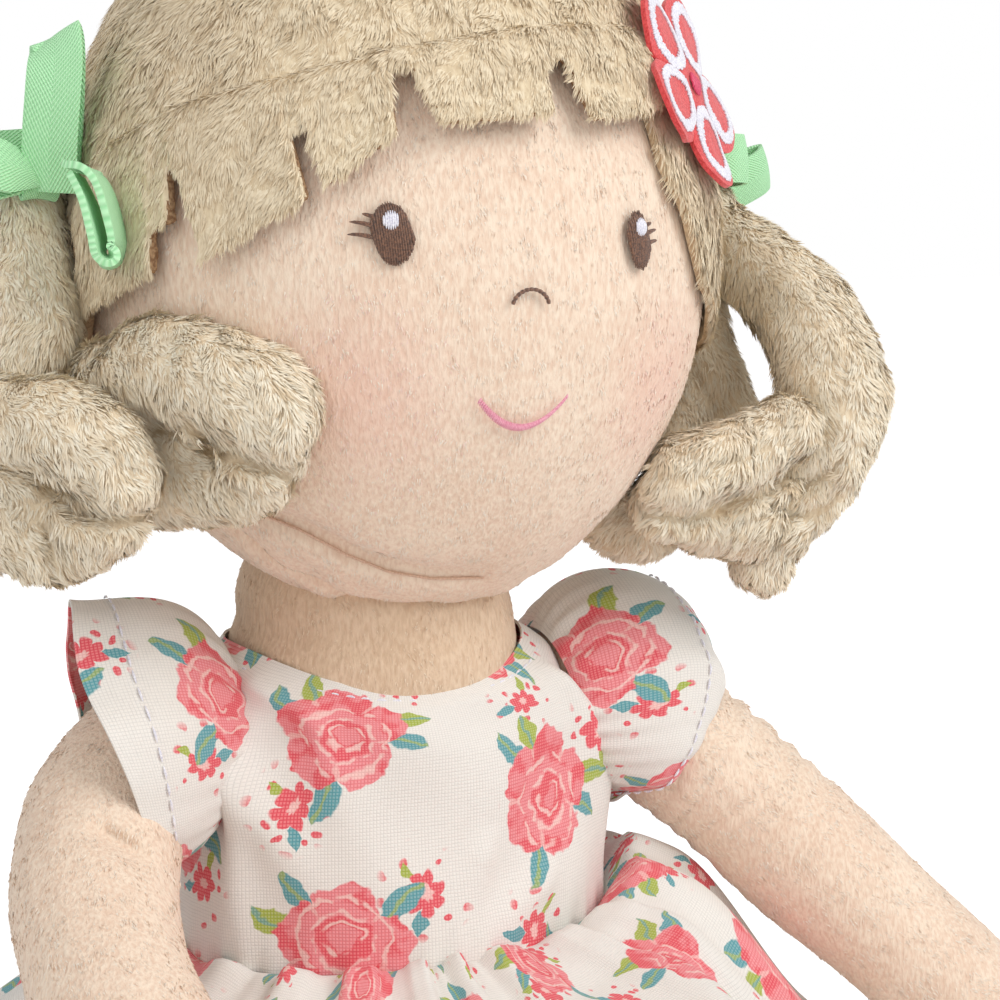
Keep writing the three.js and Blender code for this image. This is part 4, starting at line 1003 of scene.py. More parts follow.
# The runs of each strand: places as shares of the head's half sizes, and the thickness at each.
STRANDS = {
    "upper_strand_right": [([[-1.15, 0.09, 0.07], [-1.17, 0.08, -0.06], [-1.19, 0.05, -0.23],
                             [-1.23, 0.1, -0.42]], [0.95, 1.1, 1.2, 1.1])],
    "lower_curl_right": [
        ([[-1.38, -0.05, -0.47], [-1.22, -0.29, -0.51], [-1.11, -0.4, -0.58], [-1.06, -0.42, -0.66]],
         [1, 1.04, 1.02, 0.92]),
        ([[-1.08, -0.35, -0.72], [-1.2, -0.18, -0.77], [-1.33, -0.03, -0.75]], [0.9, 0.98, 1]),
        ([[-1.34, 0.03, -0.6], [-1.22, -0.14, -0.62], [-1.12, -0.24, -0.65]], [0.85, 0.8, 0.7]),
    ],
    "cheek_curl_right": [
        ([[-1.0, -0.15, -0.4], [-0.89, -0.35, -0.39], [-0.79, -0.55, -0.43], [-0.71, -0.64, -0.5],
          [-0.69, -0.59, -0.59]], [1, 1.2, 1.24, 1.18, 1.0]),
        ([[-0.68, -0.51, -0.65], [-0.77, -0.37, -0.67], [-0.89, -0.23, -0.66]], [0.9, 0.93, 0.9]),
        ([[-0.98, -0.16, -0.52], [-0.84, -0.34, -0.54], [-0.76, -0.46, -0.56]], [0.85, 0.8, 0.7]),
    ],
    "outer_loop_left": [
        ([[1.19, 0.1, 0.05], [1.23, 0.04, -0.04], [1.29, -0.1, -0.15], [1.33, -0.28, -0.29],
          [1.36, -0.4, -0.5], [1.31, -0.37, -0.7], [1.19, -0.25, -0.88]],
         [0.86, 1.0, 1.1, 1.25, 1.3, 1.2, 1.0])
    ],
    "inner_strand_left": [
        ([[1.17, 0.17, -0.06], [1.14, 0.12, -0.25], [1.16, 0.07, -0.42], [1.2, 0.06, -0.55]],
         [0.85, 0.85, 0.85, 0.8]),
        ([[1.15, 0.17, -0.3], [1.09, 0.12, -0.49], [1.01, 0.07, -0.69]], [0.8, 0.85, 0.95]),
    ],
    "front_curl_left": [
        ([[1.11, -0.5, -0.62], [0.94, -0.45, -0.69], [0.72, -0.38, -0.74]], [0.84, 0.88, 0.94]),
        ([[0.73, -0.33, -0.8], [0.92, -0.26, -0.85], [1.09, -0.27, -0.87]], [0.94, 0.95, 0.9]),
        ([[1.11, -0.36, -0.74], [0.97, -0.36, -0.77], [0.84, -0.33, -0.78]], [0.8, 0.75, 0.75]),
    ],
    "end_tuft_left": [([[1.17, -0.23, -0.9], [1.15, -0.19, -1.0]], [0.85, 0.75])],
    "back_curl_left": [([[0.85, 0.02, -0.88], [0.77, 0.14, -0.84], [0.77, 0.26, -0.75]], [0.8, 0.85, 0.8])],
}
# The folds of each strand, where it has any.
CREASES = {
    "cheek_curl_right": [
        fold(-48, 2.0, 6.0, (-65, 158), (-59.5, 158.3), (-54.6, 153.8), (-47.5, 150.5), (-40.5, 147.8)),
    ],
    "lower_curl_right": [
        fold(-32, 1.9, 5.0, (-88.5, 150.2), (-83.7, 149.9), (-79.9, 146.8), (-76.2, 141.7), (-69.2, 139.8),
             (-60.1, 139.8)),
        fold(-32, 1.6, 3.0, (-81.5, 143), (-80.5, 137), (-79.5, 131)),
    ],
    "front_curl_left": [
        fold(-38, 1.9, 5.0, (40.4, 134.4), (50.2, 132.8), (65.8, 136.9), (76.5, 141.2), (82.8, 145.4)),
        fold(-42, 1.4, 1.5, (47, 141), (57.2, 144.6), (70, 148)),
    ],
    "outer_loop_left": [
        fold(-38, 1.8, 3.0, (68.7, 139.6), (76.5, 137.5), (85.9, 141.9)),
        fold(-38, 1.8, 3.0, (69.3, 132.5), (78.2, 131.5), (88, 136.3)),
    ],
}
LOOK = {"right": (0.31, 0.94, -0.12), "left": (0.54, 0.83, -0.13)}
PILE_COUNT = {"upper_strand_right": 30000, "outer_loop_left": 44000, "cheek_curl_right": 38000,
              "lower_curl_right": 34000, "front_curl_left": 30000, "inner_strand_left": 14000,
              "end_tuft_left": 7000, "back_curl_left": 11000}

for index, (name, runs) in enumerate(STRANDS.items()):
    side = name.rsplit("_", 1)[1]
    routes = [(to_world(places * HEAD_HALF), STRAND_RADIUS * np.array(shares) - PILE_DEPTH)
              for places, shares in runs]
    strand = stuffed(name + "_plush", routes, 0.9, 5)
    points = points_of(strand)
    bumps = 0.8 * waves(points, 17, 80 + index) + 0.3 * waves(points, 7, 90 + index)
    inside = to_head(points + normals_of(strand) * bumps[:, None])
    share = np.linalg.norm(inside / head_size(1.2, inside[:, 2]), axis=1)
    set_points(strand, to_world(inside / np.minimum(share, 1)[:, None]))
    folds = CREASES.get(name, ())
    crease(strand, folds, LOOK[side])
    # The curls' backing and hairs are painted paler than the cap's: painted light.
    finished(strand, f"{side}_bunch", "hair_plush", [name], curl_backing_painted_light)
    comb = along_route(routes[0][0])
    nap = lambda at, out, c=comb: 0.45 * c(at, out) + (0.1, -0.1, -0.7)
    pile(strand, f"{side}_bunch", "hair_plush", curl_pile, count=PILE_COUNT[name], length=2.9, width=0.34,
         seed=100 + index, comb=nap, stand=0.45, ruffle=0.5, gather=0.4, keep=clear_of(folds, LOOK[side]))

# %% [markdown]
# Where a bunch leaves the head, the cap's plush is gathered to a neck and passed down through the
# ribbon. The frame's own solid has the place of it, so it is copied and rebuilt with gathers.

# %% Gathered roots
ROOT_TOP, ROOT_GATHERS = 15, 11

for name, side in SIDE.items():
    root = soft_copy(f"bunch_root_{name}_plush", [f"bunch_root_{name}"], 0.9, -0.2, 4)
    points = points_of(root)
    inside = to_head(points)
    squat = np.where(np.abs(inside[:, 0]) > 66, 0.3, 1.0)
    inside[:, 2] -= np.maximum(inside[:, 2] - ROOT_TOP, 0) * (1 - squat)
    points = to_world(inside)
    centre = to_world(BUNCH_ROOT[name])
    turn = np.arctan2(points[:, 1] - centre[1], points[:, 0] - centre[0])
    set_points(root, points + normals_of(root) * (0.5 * np.cos(ROOT_GATHERS * turn) - 0.4)[:, None])
    # The roots take the curls' paler backing and hairs: painted light.
    finished(root, "head", "hair_plush", [f"bunch_root_{name}"], curl_backing_painted_light)
    shown = lambda at, out, s=side: s * to_head(at)[:, 0] > 62
    pile(root, "head", "hair_plush", curl_pile, count=8000, length=2.4, width=0.34, seed=121, ruffle=0.5,
         keep=shown)

# %% [markdown]
# The ribbon is woven herringbone tape. A strip is laid along a route, with its width held level, and
# drawn in at the knot. Its finish reads the strip's own flat measure, so the chevrons follow it.

# %% Tape
FULL_TURN = 6.283
TWILL_PITCH, WARP_PITCH = 0.95, 0.42
TAPE_WIDE, TAPE_ROWS = 10, 90


def tape_finish(name, light, dark):
    finish = Finish(name, 0.75, Sheen_Weight=0.15)
    place = finish.cloth_place()
    across, along, _ = finish.parts(place)
    zigzag = finish.times(finish.math("PINGPONG", across, TAPE_WIDE / 2), 1.5)
    twill = finish.math("SINE", finish.times(finish.math("ADD", along, zigzag), FULL_TURN / TWILL_PITCH))
    warp = finish.math("SINE", finish.times(across, FULL_TURN / WARP_PITCH))
    weave = finish.math("MULTIPLY_ADD", warp, 0.3, twill)
    worn = finish.math("MULTIPLY_ADD", finish.noise(place, 1.2), 0.9, weave)
    return finish.done(finish.mottled(worn, -1.6, 1.2, dark, light), weave, 0.16, 0.7)


green_tape = tape_finish("green_tape", (199, 251, 199), (150, 222, 157))


def between(a, b, c, d, t):
    """The place at share t of the way from b to c, on a smooth curve that also passes a and d."""
    return 0.5 * (2 * b + (c - a) * t + (2 * a - 5 * b + 4 * c - d) * t**2 + (3 * b - a - 3 * c + d) * t**3)


def through(points, count):
    """Evenly numbered places on a smooth curve through the given points."""
    points = np.asarray(points, float)
    padded = np.concatenate([[2 * points[0] - points[1]], points, [2 * points[-1] - points[-2]]])
    at = np.linspace(0, len(points) - 1, count)
    low = np.minimum(at.astype(int), len(points) - 2)
    return between(*(padded[low + k] for k in range(4)), (at - low)[:, None])


def tape(points, wide, width_at, thickness=0.9, cup=0.0):
    """A strip along a route. wide is its width's direction, and width_at gives its width at a share."""
    route = through(points, TAPE_ROWS)
    tangent = unit(np.gradient(route, axis=0))
    wide = unit(wide if np.ndim(wide) == 1 else through(wide, TAPE_ROWS))
    across = unit(wide - tangent * (tangent * wide).sum(1, keepdims=True))
    normal = np.cross(tangent, across)
    length = float(np.linalg.norm(np.diff(route, axis=0), axis=1).sum())

    def place(u, v):
        k = np.clip(np.rint(v * (TAPE_ROWS - 1)).astype(int), 0, TAPE_ROWS - 1)
        share = (2 * u - 1)[:, None]
        half = np.array([width_at(x) / 2 for x in v])[:, None]
        return route[k] + across[k] * share * half + normal[k] * cup * share**2

    strip = grid("loop", 10, TAPE_ROWS - 1, place, TAPE_WIDE, length)
    modify(strip, "SOLIDIFY", thickness=thickness * MM, offset=0)
    modify(strip, "BEVEL", width=0.25 * MM, segments=2, limit_method="ANGLE")
    bpy.ops.object.shade_smooth_by_angle(angle=math.radians(50))
    return strip, length


# %% [markdown]
# Each bow has a band wound round the gathered hair, a knot in front of it and loops of tape. On the
# doll's right one loop stands up, one lies to the side and a small one hangs open, edge on. On its
# left two short loops stick out. The two that the photograph shows whole follow their own routes.

# %% Bows
SIGHT = np.array((0.45, 0.88, -0.14))
LEVEL = np.array((0.89, -0.45, 0.0))
UPRIGHT_LOOP = [(-72.5, -12.5, 198), (-73, -15, 207), (-72.6, -16.5, 216), (-71.8, -16, 222.5),
                (-70.8, -13.5, 226), (-69.9, -11, 222.5), (-69.6, -9, 214), (-70.2, -8.5, 205),
                (-71, -9, 199)]
ACROSS = [(0.89, -0.45, 0)] * 3
UPRIGHT_WIDE = ACROSS + [(0.8, -0.4, 0.45), (0.73, -0.37, 0.6), (0.8, -0.4, 0.45)] + ACROSS
HANGING_LOOP = [(-72, -27, 202.4), (-69.9, -30, 201.5), (-67.9, -31, 198), (-65.8, -31, 190.3),
                (-66.1, -31, 187.6), (-67.4, -31, 186.4), (-68.8, -31, 187.5), (-69.6, -31, 190.9),
                (-70.7, -30, 196.4), (-72.2, -28, 200.9)]
# Each loop of a bow: its way out, its width's way, and its length as a share.
SIDE_LOOPS = {
    "right": [((-1, -0.3, 0.1), (0, 0.2, 1), 0.75)],
    "left": [((1, 0.1, 0.45), (-0.5, -0.4, 1), 0.85), ((-0.15, 1, -0.3), (0.2, 0.3, 1), 0.6)],
}
KNOT_WAY = {"right": unit((0.25, -1, 0)), "left": unit((0.35, 1, 0))}
KNOT_HIGH = {"right": 3, "left": -0.5}
LOOP_ROUTE = np.array([[0, -0.35], [0.3, -0.8], [0.62, -1.15], [0.86, -1], [1, 0], [0.86, 1],
                       [0.62, 1.15], [0.3, 0.8], [0, 0.35]])


def narrow_ends(v):
    return TAPE_WIDE * min(1, 0.42 + 3.6 * min(v, 1 - v))


for name in SIDE:
    root = BUNCH_ROOT[name]

    def band_place(u, v):
        angle = 2 * np.pi * v
        swell = 8.9 + 0.5 * np.sin(np.pi * u) + 0.15 * np.cos(9 * angle)
        lift = 1.8 + u * 10.4 + 0.5 * np.sin(angle + 1)
        return to_world(root + np.stack([swell * np.cos(angle), swell * np.sin(angle), lift], 1))

    band = grid(f"ribbon_wrap_{name}_tape", 14, 72, band_place, TAPE_WIDE, 56, loop=True)
    thickened(band, 0.7, 0, 50)
    finished(band, "head", "green_ribbon", [f"ribbon_wrap_{name}"], green_tape)

    centre = root + (0, 0, KNOT_HIGH[name]) + KNOT_WAY[name] * 11.6
    made = []
    for direction, across, share in SIDE_LOOPS[name]:
        way = unit(direction)
        wide = unit(across - way * (way @ across))
        apart = np.cross(way, wide)
        route = to_world(centre + way * LOOP_ROUTE[:, :1] * share * 27 + apart * LOOP_ROUTE[:, 1:] * 2.3)
        made.append(tape(route, TURN @ wide, narrow_ends, cup=0.5))
    if name == "right":
        made.append(tape(UPRIGHT_LOOP, UPRIGHT_WIDE, lambda v: TAPE_WIDE, cup=0.4))
        edge_on = unit(SIGHT + 0.1 * LEVEL)
        made.append(tape(HANGING_LOOP, edge_on, lambda v: 8.0 + 2 * math.sin(math.pi * v), 1.3))
    bow = join(f"ribbon_bow_{name}_tape", *(loop for loop, _ in made))
    finished(bow, "head", "green_ribbon", [f"ribbon_bow_{name}"], green_tape)

    way = KNOT_WAY[name]
    side_way = np.cross((0, 0, 1), way)

    def knot_place(u, v):
        angle = 2 * np.pi * v
        bulge = 1.8 * np.cos(angle)
        flat = (4.2 - 0.5 * np.sin(np.pi * u)) * np.sin(angle)
        sideways = (u - 0.5) * (7 + 0.8 * np.cos(angle))
        return to_world(centre - way * 1.2 + way * bulge[:, None] - DOWN * flat[:, None]
                        + side_way * sideways[:, None])

    knot = grid(f"ribbon_knot_{name}_tape", 12, 48, knot_place, TAPE_WIDE, 24, loop=True)
    thickened(knot, 0.7, 0, 50)
    finished(knot, "head", "green_ribbon", material=green_tape)

# %% [markdown]
# All embroidery and topstitching is thread. One curve object holds many short runs, each thick in
# the middle and thin at its ends, and becomes one mesh. Satin stitch is the same, laid side by side.

# %% Thread
def threads(name, lines, radius, body, slot, material, replaced=(), taper=0.35):
    data = new_curve(radius, 1)
    data.splines.clear()
    for line in lines:
        spline = data.splines.new("POLY")
        spline.points.add(len(line) - 1)
        for k, (knot, point) in enumerate(zip(spline.points, line)):
            knot.co = (*(np.asarray(point) * MM), 1)
            knot.radius = taper if k in (0, len(line) - 1) else 1
    bpy.ops.object.convert(target="MESH")
    obj = bpy.context.object
    obj.name = obj.data.name = name
    bpy.ops.object.shade_smooth()
    return finished(obj, body, slot, replaced, material)


def thread_finish(name, light, dark, roughness=0.42):
    finish = Finish(name, roughness, Sheen_Weight=0.3)
    finish.shader.inputs["Specular IOR Level"].default_value = 0.5
    twist = finish.noise(finish.place(), 0.35)
    return finish.done(finish.mottled(twist, 0.3, 0.7, dark, light), twist, 0.1)


brown_thread = thread_finish("brown_thread", (132, 92, 68), (70, 44, 32))
pink_thread = thread_finish("pink_thread", (240, 172, 188), (222, 134, 158))
white_thread = thread_finish("white_thread", (250, 248, 252), (214, 212, 226))
magenta_thread = thread_finish("magenta_thread", (232, 72, 110), (196, 40, 84))

# %% [markdown]
# Each eye is a leaning oval of brown satin stitch with a white glint and three short lashes on its
# outer side. The stitches run up and down and bulge in the middle.

# %% Eyes
# Each eye: how far out and how high it lies, and half its width and height.
EYES = {"right": (24.6, -7.6, 3.35, 5.7), "left": (24.6, -9.4, 2.7, 5.5)}
# Each lash: where it starts and where it leans, as shares of a turn, and its length.
LASHES = ((0.41, 0.41, 2.6), (0.46, 0.42, 4.4), (0.52, 0.43, 4.6))
STITCH_APART = 0.40

for name, side in SIDE.items():
    eye_out, eye_z, eye_w, eye_h = EYES[name]
    lines = []
    for layer in (0, 1):
        for dx in np.arange(-eye_w + 0.2 + 0.2 * layer, eye_w, STITCH_APART):
            reach = eye_h * math.sqrt(max(1 - (dx / eye_w) ** 2, 0))
            t = np.linspace(-1, 1, 9)
            dome = 1.0 + 0.22 * layer + 0.5 * (1 - (dx / eye_w) ** 2) * (1 - t**2)
            rng = np.random.default_rng(int(100 * (dx + 9)) + layer)
            z = eye_z + reach * t * rng.uniform(0.93, 1.03) + 0.12 * layer
            lines.append(face_place(side * eye_out + dx - 0.45 * t, z, dome))
    for foot, lean, long in LASHES:
        long = long * (1.0 if side < 0 else 0.6)
        foot, lean = 2 * np.pi * foot, 2 * np.pi * lean
        reach = np.linspace(0, long, 6)
        x = side * (eye_out - 0.9 * eye_w * math.cos(foot) - reach * math.cos(lean))
        z = eye_z + 0.9 * eye_h * math.sin(foot) + reach * math.sin(lean) - 0.04 * reach**2
        for offset in (0, 0.5):
            lines.append(face_place(x, z + offset * (1 - reach / long), 1.15 + 0 * reach))
    threads(f"eye_{name}_stitches", lines, 0.26, "head", "brown_thread", brown_thread, [f"eye_{name}"])
    lines = []
    for dx in np.arange(-1.15, 1.2, 0.36):
        reach = 1.7 * math.sqrt(max(1 - (dx / 1.35) ** 2, 0.05))
        t = np.linspace(-1, 1, 5)
        lines.append(face_place(side * eye_out - 0.2 + dx, eye_z + 2.4 + reach * t, 1.85 + 0.2 * (1 - t**2)))
    threads(f"eye_highlight_{name}_stitches", lines, 0.23, "head", "white_thread", white_thread,
            [f"eye_highlight_{name}"])

# %% [markdown]
# The nose is a small arc of back stitches and the mouth a thin smile of slanted satin stitches.
# A line of darker thread is laid on the head in the fold of the chin seam: painted shade of that crease.

# %% Nose and mouth
NOSE_Z, MOUTH_Z, MOUTH_HALF = -21.0, -42.0, 8.7

lines = []
for a in np.linspace(-1, 1, 12)[:-1]:
    t = a + np.linspace(0, 0.19, 4)
    lines.append(face_place(3.7 * np.sin(t * 1.35), NOSE_Z + 2.9 * np.cos(t * 1.45), 1.25))
threads("nose_stitches", lines, 0.42, "head", "brown_thread", brown_thread, ["nose_stitch"], 0.7)

lines = []
for x in np.arange(-MOUTH_HALF, MOUTH_HALF + 0.05, 0.34):
    share = x / MOUTH_HALF
    z = MOUTH_Z + 5.0 * share**2
    thick = 0.62 * (1 - 0.25 * share**4)
    t = np.linspace(-1, 1, 4)
    lines.append(face_place(x + 0.28 * t, z + thick * t, 1.35 + 0.15 * (1 - t**2)))
threads("mouth_stitches", lines, 0.25, "head", "pink_thread", pink_thread, ["mouth_stitch"])

# Painted shade: a darker thread line along the chin crease.
chin_crease_shade_thread = thread_finish("chin_crease_shade_thread", (228, 194, 170), (204, 168, 142), 0.85)
look, chin_line = unit(CHIN_LOOK), np.array(CHIN_SEAM[0][0], float)
along, knots = np.linspace(0, 1, 60), np.linspace(0, 1, len(chin_line))
line = []
for point in np.stack([np.interp(along, knots, measures) for measures in chin_line.T], 1):
    hit, place, out, _ = head.ray_cast(tuple((point - 60 * look) * MM), tuple(look))
    if hit:
        line.append(np.array(place) / MM + 0.4 * np.array(out))
threads("chin_crease_shade_stitches", [line], 0.28, "head", "plush_skin", chin_crease_shade_thread)

# %% [markdown]
# The flower is coral felt with five deep petals that curl off the head. A wide ring of white satin
# stitch lies in each petal, a little inside its edge, and a magenta dot is stitched in the middle.
# Felt is a matted sheet, so its finish is a fine fuzzy mottle.

# %% Flower
felt = Finish("coral_felt", 1.0, Sheen_Weight=0.4)
fuzz = felt.noise(felt.place(), 0.5, 4.0)
coral_felt = felt.done(felt.mottled(fuzz, 0.3, 0.7, (206, 58, 62), (238, 92, 92)), fuzz, 0.3)

FLOWER = np.array((42.0, 0.0, 20.0))
FLOWER[1] = -HEAD_HALF[1] * math.sqrt(1 - np.sum((FLOWER / HEAD_HALF) ** 2))
flower_out = unit(FLOWER)
flower_side = unit(np.cross((0, 0, 1), flower_out))
flower_up = np.cross(flower_out, flower_side)
PETAL_TURN = math.radians(-90)
FLOWER_REACH = 20.0


def on_flower(x, y, lift):
    """A place on the head under a flat pattern that is centred on the flower."""
    flat = FLOWER + np.multiply.outer(x, flower_side) + np.multiply.outer(y, flower_up)
    half = head_size(0.0, flat[..., 2])
    on = flat / np.linalg.norm(flat / half, axis=-1, keepdims=True)
    return to_world(on + unit(on) * np.asarray(lift)[..., None])


def petal_share(angle):
    return np.abs(np.cos(2.5 * (angle - PETAL_TURN))) ** 0.75


def petal_reach(angle):
    return FLOWER_REACH * (0.66 + 0.34 * petal_share(angle))


def petal_lift(x, y):
    """How far the felt stands off the head: the petals curl up at their tips."""
    angle = np.arctan2(y, x)
    share = np.hypot(x, y) / FLOWER_REACH
    return 4.0 + 3.0 * share**2.2 * petal_share(angle) + 0.15 * waves(np.stack([x, y, 0 * x], -1), 5, 131)


def flower_place(u, v):
    angle = 2 * np.pi * u
    x, y = petal_reach(angle) * v * np.cos(angle), petal_reach(angle) * v * np.sin(angle)
    return on_flower(x, y, petal_lift(x, y))


flower = grid("flower_patch_felt", 200, 18, flower_place, 120, 20, loop=True)
thickened(flower, 1.0, 1, 50)
finished(flower, "head", "coral_felt", ["flower_patch"], coral_felt)

lines = []
for petal in PETAL_TURN + np.radians(72) * np.arange(5):
    along = np.array((np.cos(petal), np.sin(petal)))
    across = np.array((-along[1], along[0]))
    for index, t in enumerate(np.arange(0, 2 * np.pi, 0.36 / 6.7)):
        rng = np.random.default_rng(index)
        reach = np.linspace(1.0 + rng.uniform(-0.03, 0.03), 0.68 + rng.uniform(-0.05, 0.05), 4)
        ring = 7.3 * np.cos(t) * along + 6.3 * np.sin(t) * across
        flat = 11.4 * along + np.multiply.outer(reach, ring)
        lines.append(on_flower(flat[:, 0], flat[:, 1], petal_lift(flat[:, 0], flat[:, 1]) + 1.2))
threads("flower_stitching_satin", lines, 0.26, "head", "white_thread", white_thread,
        ["flower_stitching"], 0.6)

lines = []
for dx in np.arange(-2.0, 2.1, 0.4):
    reach = 2.2 * math.sqrt(max(1 - (dx / 2.2) ** 2, 0.03))
    t = np.linspace(-1, 1, 5)
    lines.append(on_flower(dx + 0 * t, reach * t, 5.3 + 0.3 * (1 - t**2)))
threads("flower_centre_stitches", lines, 0.26, "head", "coral_felt", magenta_thread, ["flower_centre"])

# %% [markdown]
# The dress is thin plain-woven cotton with a printed pattern. The print is drawn by nodes on the
# flat cloth: a half-drop repeat of big layered blossoms with leaves, small blossoms between them and
# sprays of dots. Each repeat turns and shifts its motif at random, and noise bends every outline as
# a loaded brush does. White threads of the open weave show over the print.

# %% Printed cotton
WHITE, CORAL, ROSE = linear(240, 235, 228), linear(236, 88, 100), linear(243, 136, 142)
PALE, TEAL, LIME = linear(249, 196, 190), linear(98, 164, 172), linear(172, 186, 78)
# Each ring of a layered blossom: where it ends and starts, its colour, and whether it is broken.
RINGS_OF_BLOOM = ((0.74, 0.67, PALE, True), (0.64, 0.40, ROSE, False), (0.50, 0.43, PALE, True),
                  (0.40, 0.20, CORAL, False), (0.30, 0.24, PALE, True), (0.20, 0, ROSE, False))
# Each leaf of a big blossom: its turn, its colour and its length.
LEAVES = ((0.2, TEAL, 6.0), (0.62, LIME, 5.0), (2.5, LIME, 5.6), (3.0, TEAL, 4.8), (4.5, TEAL, 5.8))
SMALL_CELL, DOT_CELL, BIG_CELL = 23.5, 3.6, 43.0
HALF_TURN = 3.1416
WARP_GAP, WEFT_GAP = 0.62, 0.66
VEIN_SHOWN = 0.7


class Print(Finish):
    """A cotton finish that motifs are drawn on, one over another."""

    def start(self):
        self.flat = self.cloth_place()
        bend = self.vector("SUBTRACT", self.noise(self.flat, 7.0, out=1), (0.5, 0.5, 0.5))
        self.cloth = self.vector("ADD", self.flat, self.scaled(bend, (5.0, 5.0, 0)))
        self.colour = WHITE

    def cells(self, cell, shift, jitter, seed):
        """Repeats the plane: the place in each cell, turned at random, and three random values."""
        x, y, _ = self.parts(self.scaled(self.vector("ADD", self.cloth, shift), 1 / cell))
        column = self.math("FLOOR", x)
        y = self.math("MULTIPLY_ADD", column, 0.5, y)
        key = self.add("CombineXYZ", column, self.math("FLOOR", y), float(seed))
        chance = self.add("TexWhiteNoise", key, noise_dimensions="3D", out=1)
        inside = [self.math("SUBTRACT", self.math("FRACT", value), 0.5) for value in (x, y)]
        place = self.scaled(self.add("CombineXYZ", *inside, 0.0), cell)
        offset = self.scaled(self.vector("SUBTRACT", chance, (0.5, 0.5, 0.5)), (2 * jitter, 2 * jitter, 0))
        chances = self.parts(chance)
        turn = self.times(chances[2], FULL_TURN)
        return self.turned(self.vector("SUBTRACT", place, offset), turn), chances

    def over(self, mask, colour):
        self.colour = self.mix(mask, self.colour, colour)

    def brush(self, size, amount):
        return self.times(self.math("SUBTRACT", self.noise(self.cloth, size), 0.5), amount)

    def away(self, place, rough=0.0):
        return self.math("ADD", self.vector("LENGTH", place, out=1), rough)

    def blossom(self, place, radius, petals, depth, rough, shown, layered):
        """A round bloom of lobed petals. Layered ones have rings of petals, drawn off their middle."""
        x, y, _ = self.parts(place)
        lobes = self.math("COSINE", self.times(self.math("ARCTAN2", y, x), petals / 2))
        lobes = self.math("POWER", self.math("ABSOLUTE", lobes), 0.6)
        edge = self.math("MULTIPLY_ADD", lobes, radius * depth, radius * (1 - depth))
        share = self.math("DIVIDE", self.away(place, rough), edge)
        inside = self.times(self.ramp(share, 1.0, 1.0 - 0.5 / radius), shown)
        if not layered:
            self.over(inside, CORAL)
            self.over(self.times(self.ramp(share, 0.36, 0.24), shown), PALE)
            return
        wash = self.ramp(self.noise(self.cloth, 5.0), 0.42, 0.56)
        self.over(inside, self.mix(wash, CORAL, ROSE))
        heart = self.vector("ADD", place, (0.13 * radius, -0.1 * radius, 0))
        inner = self.math("DIVIDE", self.away(heart, rough), radius * 0.92)
        dashes = self.ramp(self.noise(self.cloth, 3.2, 1.0), 0.40, 0.50)
        for end, start, tint, broken in RINGS_OF_BLOOM:
            band = self.times(self.ramp(inner, end, end - 0.04), shown)
            if start:
                band = self.times(band, self.ramp(inner, start - 0.04, start))
            if broken:
                band = self.times(band, dashes)
            self.over(self.times(band, inside), tint)
        rays = self.ramp(self.math("MULTIPLY_ADD", rough, 0.08, lobes), 0.34, 0.22)
        rays = self.times(rays, self.ramp(share, 0.66, 0.78))
        self.over(self.times(rays, inside, VEIN_SHOWN), PALE)

    def leaf(self, place, turn, away, length, width, colour, rough, shown, vein=True):
        x, y, _ = self.parts(self.vector("SUBTRACT", self.turned(place, turn), (away, 0, 0)))
        along = self.math("POWER", self.math("ABSOLUTE", self.math("DIVIDE", x, length)), 1.8)
        bent = self.math("ADD", self.math("MULTIPLY_ADD", along, width * 0.5, y), rough)
        across = self.math("DIVIDE", self.math("ABSOLUTE", bent), width)
        body = self.times(self.ramp(self.math("ADD", along, across), 1.0, 0.86), shown)
        self.over(body, colour)
        if vein:
            line = self.times(self.ramp(across, 0.2, 0.08), body)
            self.over(self.times(line, VEIN_SHOWN), LIME if colour is TEAL else TEAL)

    def yarns(self, measure, apart):
        return self.math("ABSOLUTE", self.math("SINE", self.times(measure, HALF_TURN / apart)))


def printed_cotton(name):
    p = Print(name, 0.92, Sheen_Weight=0.1)
    p.start()
    rough, soft = p.brush(2.6, 1.6), p.brush(4.0, 4.0)
    place, chance = p.cells(SMALL_CELL, (10.2, 4.6, 0), 3.0, 5)
    shown = p.ramp(chance[0], 0.3, 0.31)
    ring = p.away(place)
    spray = p.times(p.ramp(ring, 4.6, 5.4), p.ramp(ring, 10.0, 7.0), shown)
    dot_place, dot_chance = p.cells(DOT_CELL, (1, 2, 0), 1.1, 3)
    dots = p.ramp(p.away(dot_place), 0.95, 0.7)
    p.over(p.times(dots, spray, p.ramp(dot_chance[2], 0.42, 0.43)), CORAL)
    p.leaf(place, 0.3, 5.6, 2.7, 1.2, TEAL, rough, shown, False)
    p.leaf(place, 2.6, 5.4, 2.4, 1.0, LIME, rough, shown, False)
    p.blossom(place, 4.4, 7, 0.42, rough, shown, False)
    place, _ = p.cells(BIG_CELL, (2, 14, 0), 2.5, 7)
    for turn, colour, length in LEAVES:
        p.leaf(place, turn, 13.6, length, 2.6, colour, rough, 1.0)
    p.blossom(place, 13.2, 5, 0.22, soft, 1.0, True)
    x, y, _ = p.parts(p.flat)
    slub = p.noise(p.scaled(p.flat, (0.25, 2.0, 1)), 0.6)
    weave = p.math("MINIMUM", p.yarns(x, WARP_GAP), p.yarns(y, WEFT_GAP))
    weave = p.math("MULTIPLY_ADD", slub, 0.5, weave)
    threads = p.mix(p.ramp(weave, 0.45, 1.15, 0.0, 0.2), p.colour, WHITE)
    gaps = p.ramp(weave, 0.1, 0.8, 0.76, 1.0)
    return p.done(p.mix(0.85, threads, gaps, blend_type="MULTIPLY"), weave, 0.12, 0.5)


cotton = printed_cotton("printed_cotton")
print("print:", len(cotton.node_tree.nodes), "nodes")

# %% [markdown]
# The bodice is cut to the body, with a yoke drawn in to the neckline. Soft folds fan out from the
# armholes and the cloth puckers a little over its seams.

